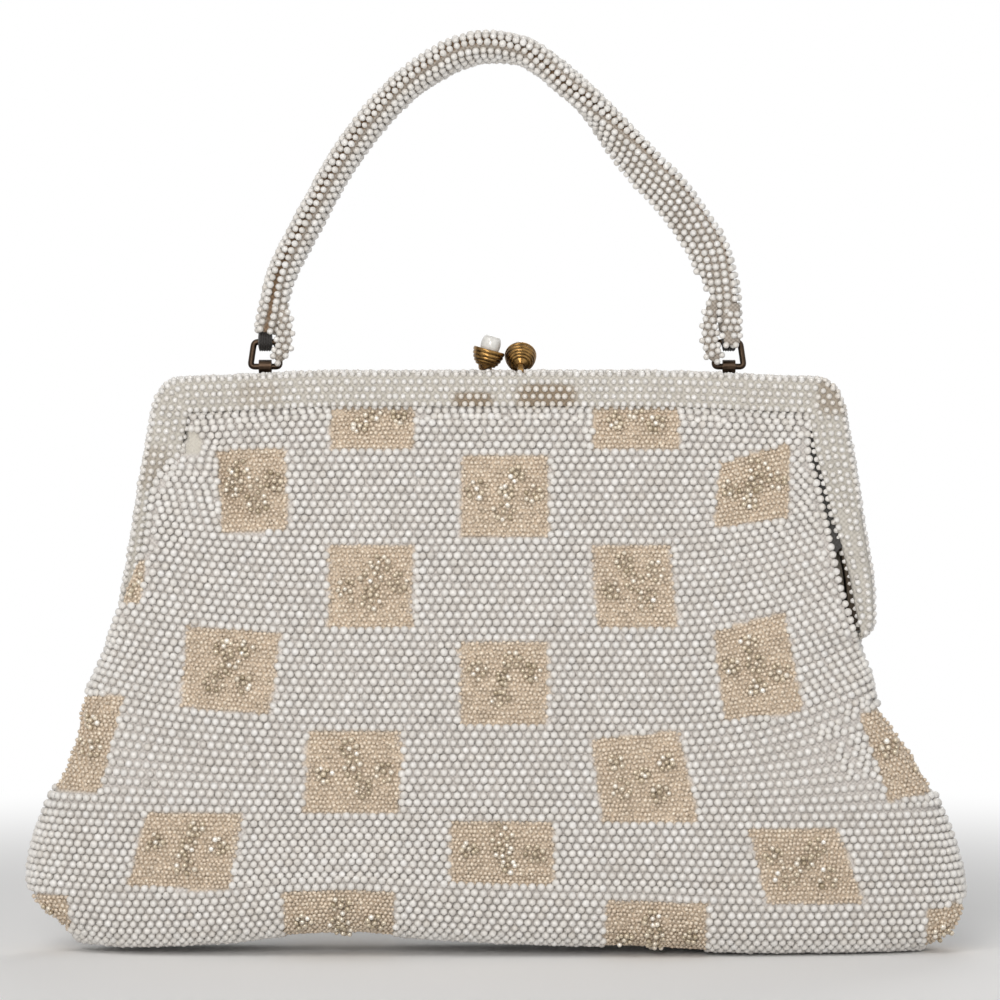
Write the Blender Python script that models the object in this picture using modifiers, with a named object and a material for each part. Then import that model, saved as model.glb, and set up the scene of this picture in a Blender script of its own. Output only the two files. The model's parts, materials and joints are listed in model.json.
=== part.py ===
"""Beaded evening handbag on a riveted folding frame, with a ribbed kiss-lock and a soft handle.

Blender 4.5. Metres, +Z up, the front toward -Y, the floor at z = 0 and the frame halves' parting at y = 0.
The back half carries the bag; the front half, the two rings and the handle turn on axes along X.
"""
import math

import bmesh
import bpy
import numpy
from mathutils import Matrix, Vector

# Whole bag
BODY_HALF_WIDTH = 0.1287
BODY_HALF_DEPTH = 0.0235
FRAME_TOP = 0.159
HINGE_HEIGHT = 0.091
CLEARANCE = 0.0003
CUT_OVERRUN = 0.004

# Frame halves, seen from the front
ARM_HALF_SPAN = 0.1037
ARM_RADIUS = 0.167
ARM_BEND_RISE = 0.007
CORNER_RADIUS = 0.008
INNER_CORNER_RADIUS = 0.001
BAND_WIDTH = 0.0102
HALF_FRAME_DEPTH = 0.0082
PARTING_GAP = 0.0004
COVER_WALL = 0.0014
SHEET = 0.0008

# Hinges at the feet of the arms
EAR_RADIUS = 0.0032
EAR_SHEET = 0.0007
RIVET_RADIUS = 0.0012
RIVET_HEAD_RADIUS = 0.0024
RIVET_HEAD_HEIGHT = 0.0008
JOGGLE_LENGTH = 0.004

# Cloth, lining and base
PANEL_WALL = 0.0012
LINING_WALL = 0.0006
LINING_GAP = 0.0006
GROOVE_REACH = 0.0036
PANEL_TOP_DROP = 0.004
SHOULDER_DROP = 0.0105
SHOULDER_SLOPE = 0.0025
SIDE_CLEARANCE = 0.0011
SEAM_GAP = 0.0008
SEAM_LAND = 0.0012
SPLIT_RADIUS = 0.022
BOARD_HALF_LENGTH = 0.095
BOARD_HALF_WIDTH = 0.010
BOARD_THICKNESS = 0.0015
BOARD_CORNER = 0.006
POCKET_HALF_WIDTH = 0.035
POCKET_FOOT = 0.058
POCKET_HEIGHT = 0.046
POCKET_WALL = 0.0005
POCKET_GAP = 0.0008
GUSSET_FOLD = 0.010
GUSSET_WALL = 0.0004
GUSSET_RISE = 0.004
GUSSET_DROP = 0.013

# Kiss-lock
LOCK_CUP_RADIUS = 0.0040
LOCK_CUP_DEPTH = 0.0039
LOCK_RIB = 0.00018
LOCK_RIBS = 5
PEARL_RADIUS = 0.00275
PEARL_RISE = 0.0014
POST_RADIUS = 0.0009
POST_HEAD_RADIUS = 0.0014
POST_HEAD_HEIGHT = 0.0008
POST_RUN_RISE = 0.0013
POST_REACH = 0.0011
FRONT_CUP_X = 0.00645
FRONT_CUP_Y = 0.0020
FRONT_CUP_RISE = 0.0048
BACK_CUP_X = -0.0026
BACK_CUP_Y = -0.0006
BACK_CUP_RISE = 0.0062
BACK_POST_OFFSET = 0.00032
FRONT_AXIS_SHARES = (0.0, 0.81, 0.59)
BACK_AXIS_SHARES = (0.35, -0.05, 0.935)

# Rings and their lugs
RING_X = 0.064
RING_PIVOT_RISE = 0.0016
RING_HEIGHT = 0.0068
RING_WIRE_RADIUS = 0.00085
RING_HALF_TOP = 0.0031
RING_HALF_FOOT = 0.0041
RING_BEND = 0.0013
LUG_RADIUS = 0.0019
LUG_LENGTH = 0.0035

# Handle
HANDLE_RISE = 0.0815
HANDLE_HALF_WIDTH = 0.0062
HANDLE_HALF_THICKNESS = 0.00375
HANDLE_END_HALF_WIDTH = 0.0035
HANDLE_END_HALF_THICKNESS = 0.0033
HANDLE_TAPER_START = 0.008
HANDLE_TAPER_END = 0.026
SLEEVE_WALL = 0.0011
LOOP_RADIUS = 0.0027
LOOP_WIDTH = 0.0037
TONGUE_LENGTH = 0.008
TONGUE_HALF_WIDTH = 0.0011
TONGUE_HALF_THICKNESS = 0.0013

# Half width of the body: share of the shoulder's height, share of the way from the arms to the widest place
BELLY_SHARES = (
    (0.0, 0.49), (0.05, 0.753), (0.092, 0.892), (0.165, 0.974), (0.23, 1.0), (0.318, 0.954), (0.409, 0.866),
    (0.497, 0.758), (0.574, 0.624), (0.663, 0.485), (0.769, 0.346), (0.878, 0.202), (0.96, 0.104), (1.0, -0.03),
)
# Half depth at the middle: share of the panel's top height, share of the half depth above the groove's
DEPTH_SHARES = (
    (0.0, 0.53), (0.0097, 0.665), (0.0258, 0.805), (0.0516, 0.916), (0.0968, 0.989), (0.161, 1.0), (0.258, 0.944),
    (0.355, 0.849), (0.452, 0.726), (0.529, 0.603), (0.587, 0.52), (0.645, 0.441), (0.71, 0.363), (0.774, 0.285),
    (0.839, 0.2), (0.903, 0.112), (0.945, 0.034), (0.956, 0.0), (1.0, 0.0),
)
# Across the panel: shares of its half width, the last one before the edge's land
COLUMN_SHARES = (0.0, 0.25, 0.47, 0.66, 0.81, 0.91, 0.972)
LINING_COLUMN_SHARES = (0.0, 0.44, 0.74, 0.91)
# Up the panels: shares of the shoulder's height, then of the height from the hinge to the panel's top
BELLY_ROW_SHARES = (0.0, 0.02, 0.053, 0.1, 0.19, 0.32, 0.46, 0.6, 0.75, 0.9, 1.0)
FRAME_ROW_SHARES = (0.016, 0.14, 0.3, 0.46, 0.62, 0.76, 0.87, 0.905, 0.96, 1.0)
LINING_BELLY_ROW_SHARES = (0.0, 0.02, 0.053, 0.12, 0.3, 0.6, 0.9, 1.0)
LINING_FRAME_ROW_SHARES = (0.016, 0.3, 0.62, 0.87, 0.905, 1.0)
UPPER_ROW_SHARES = (0.0, 0.2, 0.4, 0.6, 0.75, 0.87, 0.905, 0.96, 1.0)
LINING_UPPER_ROW_SHARES = (0.0, 0.35, 0.7, 0.87, 0.905, 1.0)
LOWER_ROW_SHARES = (0.25, 0.5, 0.75, 1.0)
BOTTOM_SHARES = (0.0, 0.5)
BOTTOM_END_SHARE = 0.03
BUMP_LIMIT_SHARE = 0.9
SECTION_POWER = 2.9
SECTION_ROUNDNESS = 0.35
BEND_CENTRE_SHARE = 0.3
MERGE_SHARE = 0.01

# The handle's centre line from the left ring to the right: shares of the ring spacing and of the rise,
# then the turn in degrees of its seam from the viewer's side, negative toward the outer edge
HANDLE_ROUTE_SHARES = (
    (-0.991, 0.037, -10), (-0.967, 0.112, -10), (-0.945, 0.19, -10), (-0.907, 0.267, -10), (-0.851, 0.352, -11),
    (-0.765, 0.477, -12), (-0.6875, 0.585, -12), (-0.576, 0.713, -14), (-0.477, 0.804, -15), (-0.374, 0.882, -18),
    (-0.271, 0.936, -21), (-0.155, 0.983, -25), (-0.03, 1.0, -18), (0.09, 0.99, -10), (0.193, 0.949, 5),
    (0.292, 0.888, 15), (0.4, 0.811, 0), (0.516, 0.703, -35), (0.636, 0.591, -60), (0.735, 0.51, -70),
    (0.829, 0.412, -80), (0.907, 0.315, -78), (0.954, 0.223, -70), (0.988, 0.129, -65), (0.997, 0.055, -60),
    (1.0, 0.037, -60),
)

# Worked out from the sizes above
FRAME_MID_Y = PARTING_GAP / 2 + HALF_FRAME_DEPTH / 2
CHANNEL_HALF_DEPTH = HALF_FRAME_DEPTH / 2 - COVER_WALL - CLEARANCE
GROOVE_HALF_DEPTH = CHANNEL_HALF_DEPTH - SHEET
CHANNEL_INSET = COVER_WALL + CLEARANCE
GROOVE_INSET = CHANNEL_INSET + SHEET
GROOVE_PANEL_Y = FRAME_MID_Y + GROOVE_HALF_DEPTH - CLEARANCE
ARM_BEND_HEIGHT = HINGE_HEIGHT + ARM_BEND_RISE
PANEL_TOP = FRAME_TOP - PANEL_TOP_DROP
SHOULDER_HEIGHT = HINGE_HEIGHT - SHOULDER_DROP - SHOULDER_SLOPE
LINING_OFFSET = PANEL_WALL + LINING_GAP
BOARD_FOOT = PANEL_WALL + CLEARANCE
LINING_FLOOR = BOARD_FOOT + BOARD_THICKNESS + CLEARANCE
POCKET_OFFSET = LINING_OFFSET + LINING_WALL + POCKET_GAP
RING_PIVOT_Z = FRAME_TOP + RING_PIVOT_RISE
RING_TOP_Z = RING_PIVOT_Z + RING_HEIGHT
RING_BORE = RING_WIRE_RADIUS + CLEARANCE
HEAD_TOP = FRAME_TOP - GROOVE_INSET - CLEARANCE
EAR_OUTER_X = ARM_HALF_SPAN - CHANNEL_INSET
EAR_INNER_X = EAR_OUTER_X - SHEET - CLEARANCE
HINGE_RELIEF = EAR_RADIUS + CLEARANCE + PARTING_GAP / 2
MERGE_DISTANCE = SHEET * MERGE_SHARE

FRONT = -1
BACK = 1
ARM_STEPS = 6
CORNER_STEPS = 4
ROUND_STEPS = 16
CUP_STEPS = 18
RIB_STEPS = 3
SEAT_STEPS = 4
PEARL_RINGS = 10
POCKET_ROWS = 4
POCKET_HALF_COLUMNS = 3
GUSSET_ROWS = 6
BOARD_CORNER_STEPS = 4
SPLIT_TRIES = 40
SLEEVE_SIDES = 12
CORE_SIDES = 8
CORE_SKIP_STEPS = 2
WIRE_STEPS = 2
FULL_TURN = 2 * math.pi


def start_scene():
    """Empty the scene and make the two collections."""
    for item in list(bpy.data.objects):
        bpy.data.objects.remove(item, do_unlink=True)
    collections = []
    for name in ("beaded_handbag", "cutters"):
        collection = bpy.data.collections.new(name)
        bpy.context.scene.collection.children.link(collection)
        collections.append(collection)
    return collections


PARTS, CUTTERS = start_scene()


def add_body(name, location):
    """An empty that stands for one moving body, on its joint's axis."""
    body = bpy.data.objects.new(name, None)
    body.location = location
    body.empty_display_size = CORNER_RADIUS
    PARTS.objects.link(body)
    return body


def make_material(name, colour, roughness, metallic):
    material = bpy.data.materials.new(name)
    material.use_nodes = True
    shader = material.node_tree.nodes["Principled BSDF"]
    shader.inputs["Base Color"].default_value = (*colour, 1.0)
    shader.inputs["Roughness"].default_value = roughness
    shader.inputs["Metallic"].default_value = metallic
    return material


BEAD_CLOTH = ((0.60, 0.55, 0.49), 0.55, 0.0)
SATIN = ((0.62, 0.55, 0.45), 0.5, 0.0)
STEEL = ((0.42, 0.40, 0.37), 0.4, 1.0)
BRASS = ((0.62, 0.44, 0.20), 0.35, 1.0)
BRONZE = ((0.09, 0.07, 0.055), 0.4, 1.0)
PEARL = ((0.85, 0.83, 0.78), 0.2, 0.0)
BOARD = ((0.33, 0.27, 0.2), 0.9, 0.0)
CORD = ((0.7, 0.67, 0.6), 0.9, 0.0)


def place_part(part, body, finish):
    """Give a node its material and hang it from its body, where it already lies."""
    part.data.materials.clear()
    part.data.materials.append(make_material(part.name, *finish))
    part.parent = body
    part.location = part.location - body.location
    PARTS.objects.link(part)
    return part


def mesh_object(name, bm):
    bmesh.ops.recalc_face_normals(bm, faces=bm.faces)
    mesh = bpy.data.meshes.new(name)
    bm.to_mesh(mesh)
    bm.free()
    return bpy.data.objects.new(name, mesh)


def cutter(part):
    part.hide_render = True
    part.display_type = "WIRE"
    CUTTERS.objects.link(part)
    return part


def combine(part, tool, operation, solver="EXACT"):
    """Cut, join or keep the common space of a part and a tool."""
    boolean = part.modifiers.new(f"{operation.lower()} {tool.name}", "BOOLEAN")
    boolean.solver = solver
    boolean.operation = operation
    boolean.object = tool


def add_block(bm, low, high):
    """A box between two corners."""
    size = Vector(high) - Vector(low)
    centre = (Vector(high) + Vector(low)) / 2
    bmesh.ops.create_cube(bm, size=1.0, matrix=Matrix.Translation(centre) @ Matrix.Diagonal((*size, 1.0)))


def add_rod(bm, start, end, radius, steps=ROUND_STEPS):
    """A cylinder between two points."""
    start = Vector(start)
    axis = Vector(end) - start
    turn = axis.to_track_quat("Z", "Y").to_matrix().to_4x4()
    bmesh.ops.create_cone(
        bm, cap_ends=True, segments=steps, radius1=radius, radius2=radius, depth=axis.length,
        matrix=Matrix.Translation(start + axis / 2) @ turn,
    )


def curve_to_mesh(name, curve):
    """Turn a curve into one closed mesh object."""
    source = bpy.data.objects.new(name, curve)
    mesh = bpy.data.meshes.new_from_object(source)
    bpy.data.objects.remove(source)
    bm = bmesh.new()
    bm.from_mesh(mesh)
    bmesh.ops.remove_doubles(bm, verts=bm.verts, dist=MERGE_DISTANCE)
    bpy.data.meshes.remove(mesh)
    return mesh_object(name, bm)


def flat_plate(name, outline, thickness, stand):
    """A flat outline, filled and extruded about its own plane, then stood up by a matrix."""
    curve = bpy.data.curves.new(name, "CURVE")
    curve.dimensions = "2D"
    curve.fill_mode = "BOTH"
    curve.extrude = thickness / 2
    spline = curve.splines.new("POLY")
    spline.points.add(len(outline) - 1)
    for point, (across, up) in zip(spline.points, outline):
        point.co = (across, up, 0.0, 1.0)
    spline.use_cyclic_u = True
    plate = curve_to_mesh(name, curve)
    plate.data.transform(stand)
    return plate


def side_plate(name, outline, x_middle, thickness):
    """A plate with an outline of (y, z) points, seen from the side."""
    turn = Matrix.Rotation(math.radians(90), 4, "Z") @ Matrix.Rotation(math.radians(90), 4, "X")
    return flat_plate(name, outline, thickness, Matrix.Translation((x_middle, 0.0, 0.0)) @ turn)


def wire(name, points, radius, closed=False):
    """A round wire or rod along a list of points."""
    curve = bpy.data.curves.new(name, "CURVE")
    curve.dimensions = "3D"
    curve.bevel_depth = radius
    curve.bevel_resolution = WIRE_STEPS
    curve.use_fill_caps = not closed
    spline = curve.splines.new("POLY")
    spline.points.add(len(points) - 1)
    for point, place in zip(spline.points, points):
        point.co = (*place, 1.0)
    spline.use_cyclic_u = closed
    return curve_to_mesh(name, curve)


def turned(name, profile, closed, steps=ROUND_STEPS):
    """A solid of revolution about Z from (radius, height) points that run down the outer side."""
    bm = bmesh.new()
    verts = [bm.verts.new((radius, 0.0, height)) for radius, height in profile]
    for first, second in zip(verts, verts[1:]):
        bm.edges.new((first, second))
    if closed:
        bm.edges.new((verts[-1], verts[0]))
    mesh = bpy.data.meshes.new(name)
    bm.to_mesh(mesh)
    bm.free()
    part = bpy.data.objects.new(name, mesh)
    screw = part.modifiers.new("turn", "SCREW")
    screw.axis = "Z"
    screw.angle = FULL_TURN
    screw.steps = steps
    screw.render_steps = steps
    screw.use_merge_vertices = True
    screw.merge_threshold = MERGE_DISTANCE
    screw.use_smooth_shade = False
    return part


def arc(centre_x, centre_z, radius, start, end, steps):
    angles = [start + (end - start) * step / steps for step in range(steps + 1)]
    return [(centre_x + radius * math.cos(a), centre_z + radius * math.sin(a)) for a in angles]


# The frame's contour: a straight foot, an arm bent to a wide arc, a tight corner and a level top bar


def corner_of(inset):
    """Centre and radius of the contour's corner, and the arm's lean where the corner starts."""
    radius = max(CORNER_RADIUS - inset, INNER_CORNER_RADIUS)
    centre_z = FRAME_TOP - inset - radius
    rise = centre_z - ARM_BEND_HEIGHT
    reach = math.sqrt((ARM_RADIUS - inset - radius) ** 2 - rise ** 2)
    return ARM_HALF_SPAN - ARM_RADIUS + reach, centre_z, radius, math.atan2(rise, reach)


def contour_x(z, inset):
    """Half span of the frame's contour at a height, moved inward by an inset."""
    centre_x, centre_z, radius, lean = corner_of(inset)
    arm_radius = ARM_RADIUS - inset
    if z <= ARM_BEND_HEIGHT:
        return ARM_HALF_SPAN - inset
    if z <= centre_z + radius * math.sin(lean):
        return ARM_HALF_SPAN - ARM_RADIUS + math.sqrt(arm_radius ** 2 - (z - ARM_BEND_HEIGHT) ** 2)
    return centre_x + math.sqrt(max(radius ** 2 - (z - centre_z) ** 2, 0.0))


def arch_side(inset):
    """Right half of the contour from the bend of the arm up to the top bar."""
    centre_x, centre_z, radius, lean = corner_of(inset)
    arm = arc(ARM_HALF_SPAN - ARM_RADIUS, ARM_BEND_HEIGHT, ARM_RADIUS - inset, 0.0, lean, ARM_STEPS)
    return arm + arc(centre_x, centre_z, radius, lean, math.pi / 2, CORNER_STEPS)[1:]


def arch_pairs(outer_inset, inner_inset, foot, rounded):
    """Matching points of an arch's outer and inner contour, from its right foot round to its left one."""
    pairs = list(zip(arch_side(outer_inset), arch_side(inner_inset)))
    if rounded:
        half = (inner_inset - outer_inset) / 2
        middle = ARM_HALF_SPAN - outer_inset - half
        outer_tip = arc(middle, foot, half, -math.pi / 2, 0.0, ROUND_STEPS // 4)
        pairs = [((x, z), (2 * middle - x, z)) for x, z in outer_tip] + pairs
    else:
        pairs.insert(0, ((ARM_HALF_SPAN - outer_inset, foot), (ARM_HALF_SPAN - inner_inset, foot)))
    return pairs + [((-x, z), (-inner_x, inner_z)) for (x, z), (inner_x, inner_z) in reversed(pairs)]


def arch_plate(name, outer_inset, inner_inset, foot, y_middle, thickness, rounded=False):
    """A plate in the form of an arch between two insets. Its feet are square, or round about their middle."""
    bm = bmesh.new()
    sections = []
    for outer, inner in arch_pairs(outer_inset, inner_inset, foot, rounded):
        corners = [(x, y_middle + turn * thickness / 2, z) for turn in (-1, 1) for x, z in (outer, inner)]
        sections.append([bm.verts.new(corners[index]) for index in (0, 1, 3, 2)])
    for first, second in zip(sections, sections[1:]):
        for index in range(4):
            after = (index + 1) % 4
            bm.faces.new((first[index], first[after], second[after], second[index]))
    bm.faces.new(list(reversed(sections[0])))
    bm.faces.new(sections[-1])
    bmesh.ops.remove_doubles(bm, verts=bm.verts, dist=MERGE_DISTANCE)
    return mesh_object(name, bm)


def hinge_reliefs(name, low_x, high_x):
    """Space that the ears and rivets need at both feet: open below, round above the hinge."""
    foot = HINGE_HEIGHT - 2 * BAND_WIDTH
    outline = [(-HINGE_RELIEF, foot), (HINGE_RELIEF, foot)]
    outline += arc(0.0, HINGE_HEIGHT, HINGE_RELIEF, 0.0, math.pi, ROUND_STEPS // 2)
    reliefs = []
    for turn in (-1, 1):
        middle = turn * (low_x + high_x) / 2
        reliefs.append(cutter(side_plate(f"{name}_{turn + 1}", outline, middle, high_x - low_x)))
    return reliefs


def top_bar_holes(name, places, radius):
    """Round holes down through the top bar at (x, y) places."""
    bm = bmesh.new()
    for x, y in places:
        add_rod(bm, (x, y, HEAD_TOP - CUT_OVERRUN), (x, y, FRAME_TOP + CUT_OVERRUN), radius)
    return cutter(mesh_object(name, bm))


FRAME_FEET = {FRONT: HINGE_HEIGHT, BACK: HINGE_HEIGHT + CLEARANCE}
POST_X = {FRONT: FRONT_CUP_X, BACK: BACK_CUP_X + BACK_POST_OFFSET}
CUTTER_FOOT = HINGE_HEIGHT - 2 * BAND_WIDTH


def fixings(side):
    """Places where the lock's post and, at the back, the two lugs pass through the top bar."""
    places = [(POST_X[side], side * FRAME_MID_Y)]
    if side == BACK:
        places += [(-RING_X, FRAME_MID_Y), (RING_X, FRAME_MID_Y)]
    return places


def frame_cover(side, body):
    """The beaded cloth round one frame half: a channel-shaped wrap, open toward the bag's middle."""
    name = "front_frame_cover" if side == FRONT else "back_frame_cover"
    feet = FRAME_FEET[side]
    rounded = side == FRONT
    middle = side * FRAME_MID_Y
    cover = arch_plate(name, 0.0, BAND_WIDTH, feet, middle, HALF_FRAME_DEPTH, rounded)
    space = arch_plate(name + "_hollow", COVER_WALL, BAND_WIDTH + CUT_OVERRUN, CUTTER_FOOT, middle,
                       HALF_FRAME_DEPTH - 2 * COVER_WALL)
    low_x = ARM_HALF_SPAN - BAND_WIDTH - CUT_OVERRUN
    for relief in hinge_reliefs(name + "_hinge", low_x, ARM_HALF_SPAN + CUT_OVERRUN):
        combine(cover, relief, "DIFFERENCE")
    combine(cover, cutter(space), "DIFFERENCE")
    combine(cover, top_bar_holes(name + "_holes", fixings(side), POST_RADIUS + CLEARANCE), "DIFFERENCE")
    if side == BACK:
        combine(cover, lug_recesses(), "DIFFERENCE")
    return place_part(cover, body, BEAD_CLOTH)


def lug_recesses():
    """Dents in the back cover that the lugs' barrels lie in."""
    bm = bmesh.new()
    half = LUG_LENGTH / 2 + CLEARANCE
    for side in (-1, 1):
        start = (side * RING_X - half, FRAME_MID_Y, RING_PIVOT_Z)
        end = (side * RING_X + half, FRAME_MID_Y, RING_PIVOT_Z)
        add_rod(bm, start, end, LUG_RADIUS + CLEARANCE)
    return cutter(mesh_object("lug_recesses", bm))


def front_ears():
    """Round ears in the web of the front half, which lap outside the back half's."""
    ears = []
    for turn in (-1, 1):
        outline = arc(0.0, HINGE_HEIGHT, EAR_RADIUS, 0.0, FULL_TURN, ROUND_STEPS)[1:]
        middle = turn * (EAR_OUTER_X - SHEET / 2)
        ears.append(cutter(side_plate(f"front_ear_{turn + 1}", outline, middle, EAR_SHEET)))
    return ears


def back_ears():
    """Ears set in by a joggle: a plate that runs up from the round ear, and a block out to the web."""
    foot = FRAME_FEET[BACK] + SHEET / 2
    far_y = FRAME_MID_Y + CHANNEL_HALF_DEPTH - SHEET / 2
    near_y = FRAME_MID_Y - CHANNEL_HALF_DEPTH + SHEET / 2
    plate_top = HINGE_HEIGHT + HINGE_RELIEF + JOGGLE_LENGTH
    start = math.asin((foot - HINGE_HEIGHT) / EAR_RADIUS)
    end = math.acos(near_y / EAR_RADIUS) - FULL_TURN
    outline = arc(0.0, HINGE_HEIGHT, EAR_RADIUS, start, end, ROUND_STEPS)
    outline += [(near_y, plate_top), (far_y, plate_top), (far_y, foot)]
    ears = []
    for turn in (-1, 1):
        plate = side_plate(f"back_ear_{turn + 1}", outline, turn * (EAR_INNER_X - SHEET / 2), EAR_SHEET)
        ears.append(cutter(plate))
        block = bmesh.new()
        low_x, high_x = sorted((turn * (EAR_INNER_X - SHEET / 2), turn * (EAR_OUTER_X - SHEET / 2)))
        add_block(block, (low_x, near_y + SHEET, HINGE_HEIGHT + HINGE_RELIEF + SHEET),
                  (high_x, far_y, plate_top - SHEET / 2))
        ears.append(cutter(mesh_object(f"back_joggle_{turn + 1}", block)))
    return ears


def frame_channel(side, body):
    """The steel channel of one frame half, with its groove toward the bag and its two ears.

    Its cuts use the manifold solver, because the exact one drops a face of the corner at some arm spans.
    """
    name = "front_frame" if side == FRONT else "back_frame"
    feet = FRAME_FEET[side]
    rounded = side == FRONT
    middle = side * FRAME_MID_Y
    channel = arch_plate(name, CHANNEL_INSET, BAND_WIDTH - CLEARANCE, feet, middle, 2 * CHANNEL_HALF_DEPTH, rounded)
    space = arch_plate(name + "_groove", GROOVE_INSET, BAND_WIDTH + CUT_OVERRUN, CUTTER_FOOT, middle,
                       2 * GROOVE_HALF_DEPTH)
    low_x = ARM_HALF_SPAN - BAND_WIDTH - CUT_OVERRUN
    high_x = EAR_INNER_X + CLEARANCE / 2 if side == FRONT else ARM_HALF_SPAN
    for tool in [cutter(space)] + hinge_reliefs(name + "_hinge", low_x, high_x):
        combine(channel, tool, "DIFFERENCE", solver="MANIFOLD")
    for ear in front_ears() if side == FRONT else back_ears():
        combine(channel, ear, "UNION", solver="MANIFOLD")
    bore = bmesh.new()
    add_rod(bore, (-ARM_HALF_SPAN, 0.0, HINGE_HEIGHT), (ARM_HALF_SPAN, 0.0, HINGE_HEIGHT), RIVET_RADIUS + CLEARANCE)
    holes = top_bar_holes(name + "_holes", fixings(side), POST_RADIUS + CLEARANCE)
    for tool in (cutter(mesh_object(name + "_bore", bore)), holes):
        combine(channel, tool, "DIFFERENCE", solver="MANIFOLD")
    return place_part(channel, body, STEEL)


def hinge_rivet(turn, body):
    """A rivet through both ears, with a head at each side."""
    name = "hinge_rivet_left" if turn < 0 else "hinge_rivet_right"
    grip = (EAR_OUTER_X - EAR_INNER_X + SHEET) / 2 + CLEARANCE
    end = grip + RIVET_HEAD_HEIGHT
    crown = RIVET_HEAD_RADIUS - RIVET_HEAD_HEIGHT / 2
    profile = [(0.0, end), (crown, end), (RIVET_HEAD_RADIUS, end - RIVET_HEAD_HEIGHT / 2), (RIVET_HEAD_RADIUS, grip)]
    profile += [(RIVET_RADIUS, grip)]
    profile += [(radius, -height) for radius, height in reversed(profile)]
    rivet = turned(name, profile, closed=False)
    rivet.location = (turn * (EAR_OUTER_X + EAR_INNER_X - SHEET) / 2, 0.0, HINGE_HEIGHT)
    rivet.rotation_euler = (0.0, math.radians(90), 0.0)
    return place_part(rivet, body, BRASS)


# The cloth's form: half width and half depth at each height, a rounded section below and a flat one in the frame


def table_value(shares, value):
    return float(numpy.interp(value, [row[0] for row in shares], [row[1] for row in shares]))


def frame_share(z):
    """0 in the soft body, 1 where the edges lie in the frame's grooves, with a smooth change between."""
    share = (z - SHOULDER_HEIGHT) / (HINGE_HEIGHT + CLEARANCE - SHOULDER_HEIGHT)
    share = min(max(share, 0.0), 1.0)
    return share * share * (3 - 2 * share)


def belly_half_width(z):
    share = table_value(BELLY_SHARES, z / SHOULDER_HEIGHT)
    return ARM_HALF_SPAN + (BODY_HALF_WIDTH - ARM_HALF_SPAN) * share


def half_width(z, in_frame):
    """Half width of a panel: the belly's, then inside the arms, then in the groove if it is held there."""
    if z <= SHOULDER_HEIGHT:
        return belly_half_width(z)
    inside = contour_x(z, BAND_WIDTH + SIDE_CLEARANCE)
    if z < SHOULDER_HEIGHT + SHOULDER_SLOPE:
        share = (z - SHOULDER_HEIGHT) / SHOULDER_SLOPE
        return belly_half_width(SHOULDER_HEIGHT) * (1 - share) + inside * share
    if in_frame and z > HINGE_HEIGHT + CLEARANCE:
        return contour_x(z, GROOVE_REACH)
    return inside


def edge_depth(z):
    """Half distance between the front and the back panel at their sides."""
    return SEAM_GAP / 2 + (GROOVE_PANEL_Y - SEAM_GAP / 2) * frame_share(z)


def depth_at(x, z):
    """Distance of the cloth's outer face from the middle plane."""
    middle_share = table_value(DEPTH_SHARES, z / PANEL_TOP)
    middle = GROOVE_PANEL_Y + (BODY_HALF_DEPTH - GROOVE_PANEL_Y) * middle_share
    edge = edge_depth(z)
    limit = half_width(z, in_frame=False)
    if z > SHOULDER_HEIGHT + SHOULDER_SLOPE:
        limit = min(limit, BUMP_LIMIT_SHARE * contour_x(z, GROOVE_REACH))
    across = min(abs(x) / limit, 1.0)
    roundness = SECTION_ROUNDNESS + (1 - SECTION_ROUNDNESS) * frame_share(z)
    return edge + (middle - edge) * (1 - across ** SECTION_POWER) ** roundness


def panel_row(z, columns, in_frame):
    """One row of the cloth from its left edge to its right one, as (x, depth, z) points."""
    width = half_width(z, in_frame)
    flat = frame_share(z)
    edge = edge_depth(z)
    row = [(width * share, depth_at(width * share, z), z) for share in columns]
    land = (width - SEAM_LAND * flat, edge + SEAM_LAND * (1 - flat), z)
    row += [land, (width, edge, z)]
    left = [(-x, depth, height) for x, depth, height in reversed(row[1:])]
    return left + row


def split_height(x, offset, limit):
    """Height where the cloth, at an offset inside its outer face, meets a radius about the hinge."""
    low = HINGE_HEIGHT + ARM_BEND_RISE
    high = PANEL_TOP
    for _ in range(SPLIT_TRIES):
        middle = (low + high) / 2
        if math.hypot(depth_at(x, middle) - offset, middle - HINGE_HEIGHT) < limit:
            low = middle
        else:
            high = middle
    return low


def split_row(share, z_from, z_to, columns, in_frame):
    """A row whose height changes across the cloth, a share of the way between two heights of each column."""
    middle_z = z_from(0.0) + (z_to(0.0) - z_from(0.0)) * share
    row = []
    for x, _, _ in panel_row(middle_z, columns, in_frame):
        z = z_from(x) + (z_to(x) - z_from(x)) * share
        at_edge = half_width(z, in_frame) / half_width(middle_z, in_frame)
        row.append((x * at_edge, depth_at(x * at_edge, z), z))
    return row


def belly_rows(row_shares, columns):
    """The flat bottom and the belly, up to the shoulder and in to the arms' inner side."""
    foot = panel_row(0.0, columns, in_frame=False)
    rows = []
    for share in BOTTOM_SHARES:
        narrow = 1 - (1 - share) * BOTTOM_END_SHARE
        rows.append([(x * narrow, SEAM_GAP / 2 + (d - SEAM_GAP / 2) * share, z) for x, d, z in foot])
    rows += [panel_row(SHOULDER_HEIGHT * share, columns, in_frame=False) for share in row_shares]
    rows.append(panel_row(SHOULDER_HEIGHT + SHOULDER_SLOPE, columns, in_frame=False))
    return rows


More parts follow.
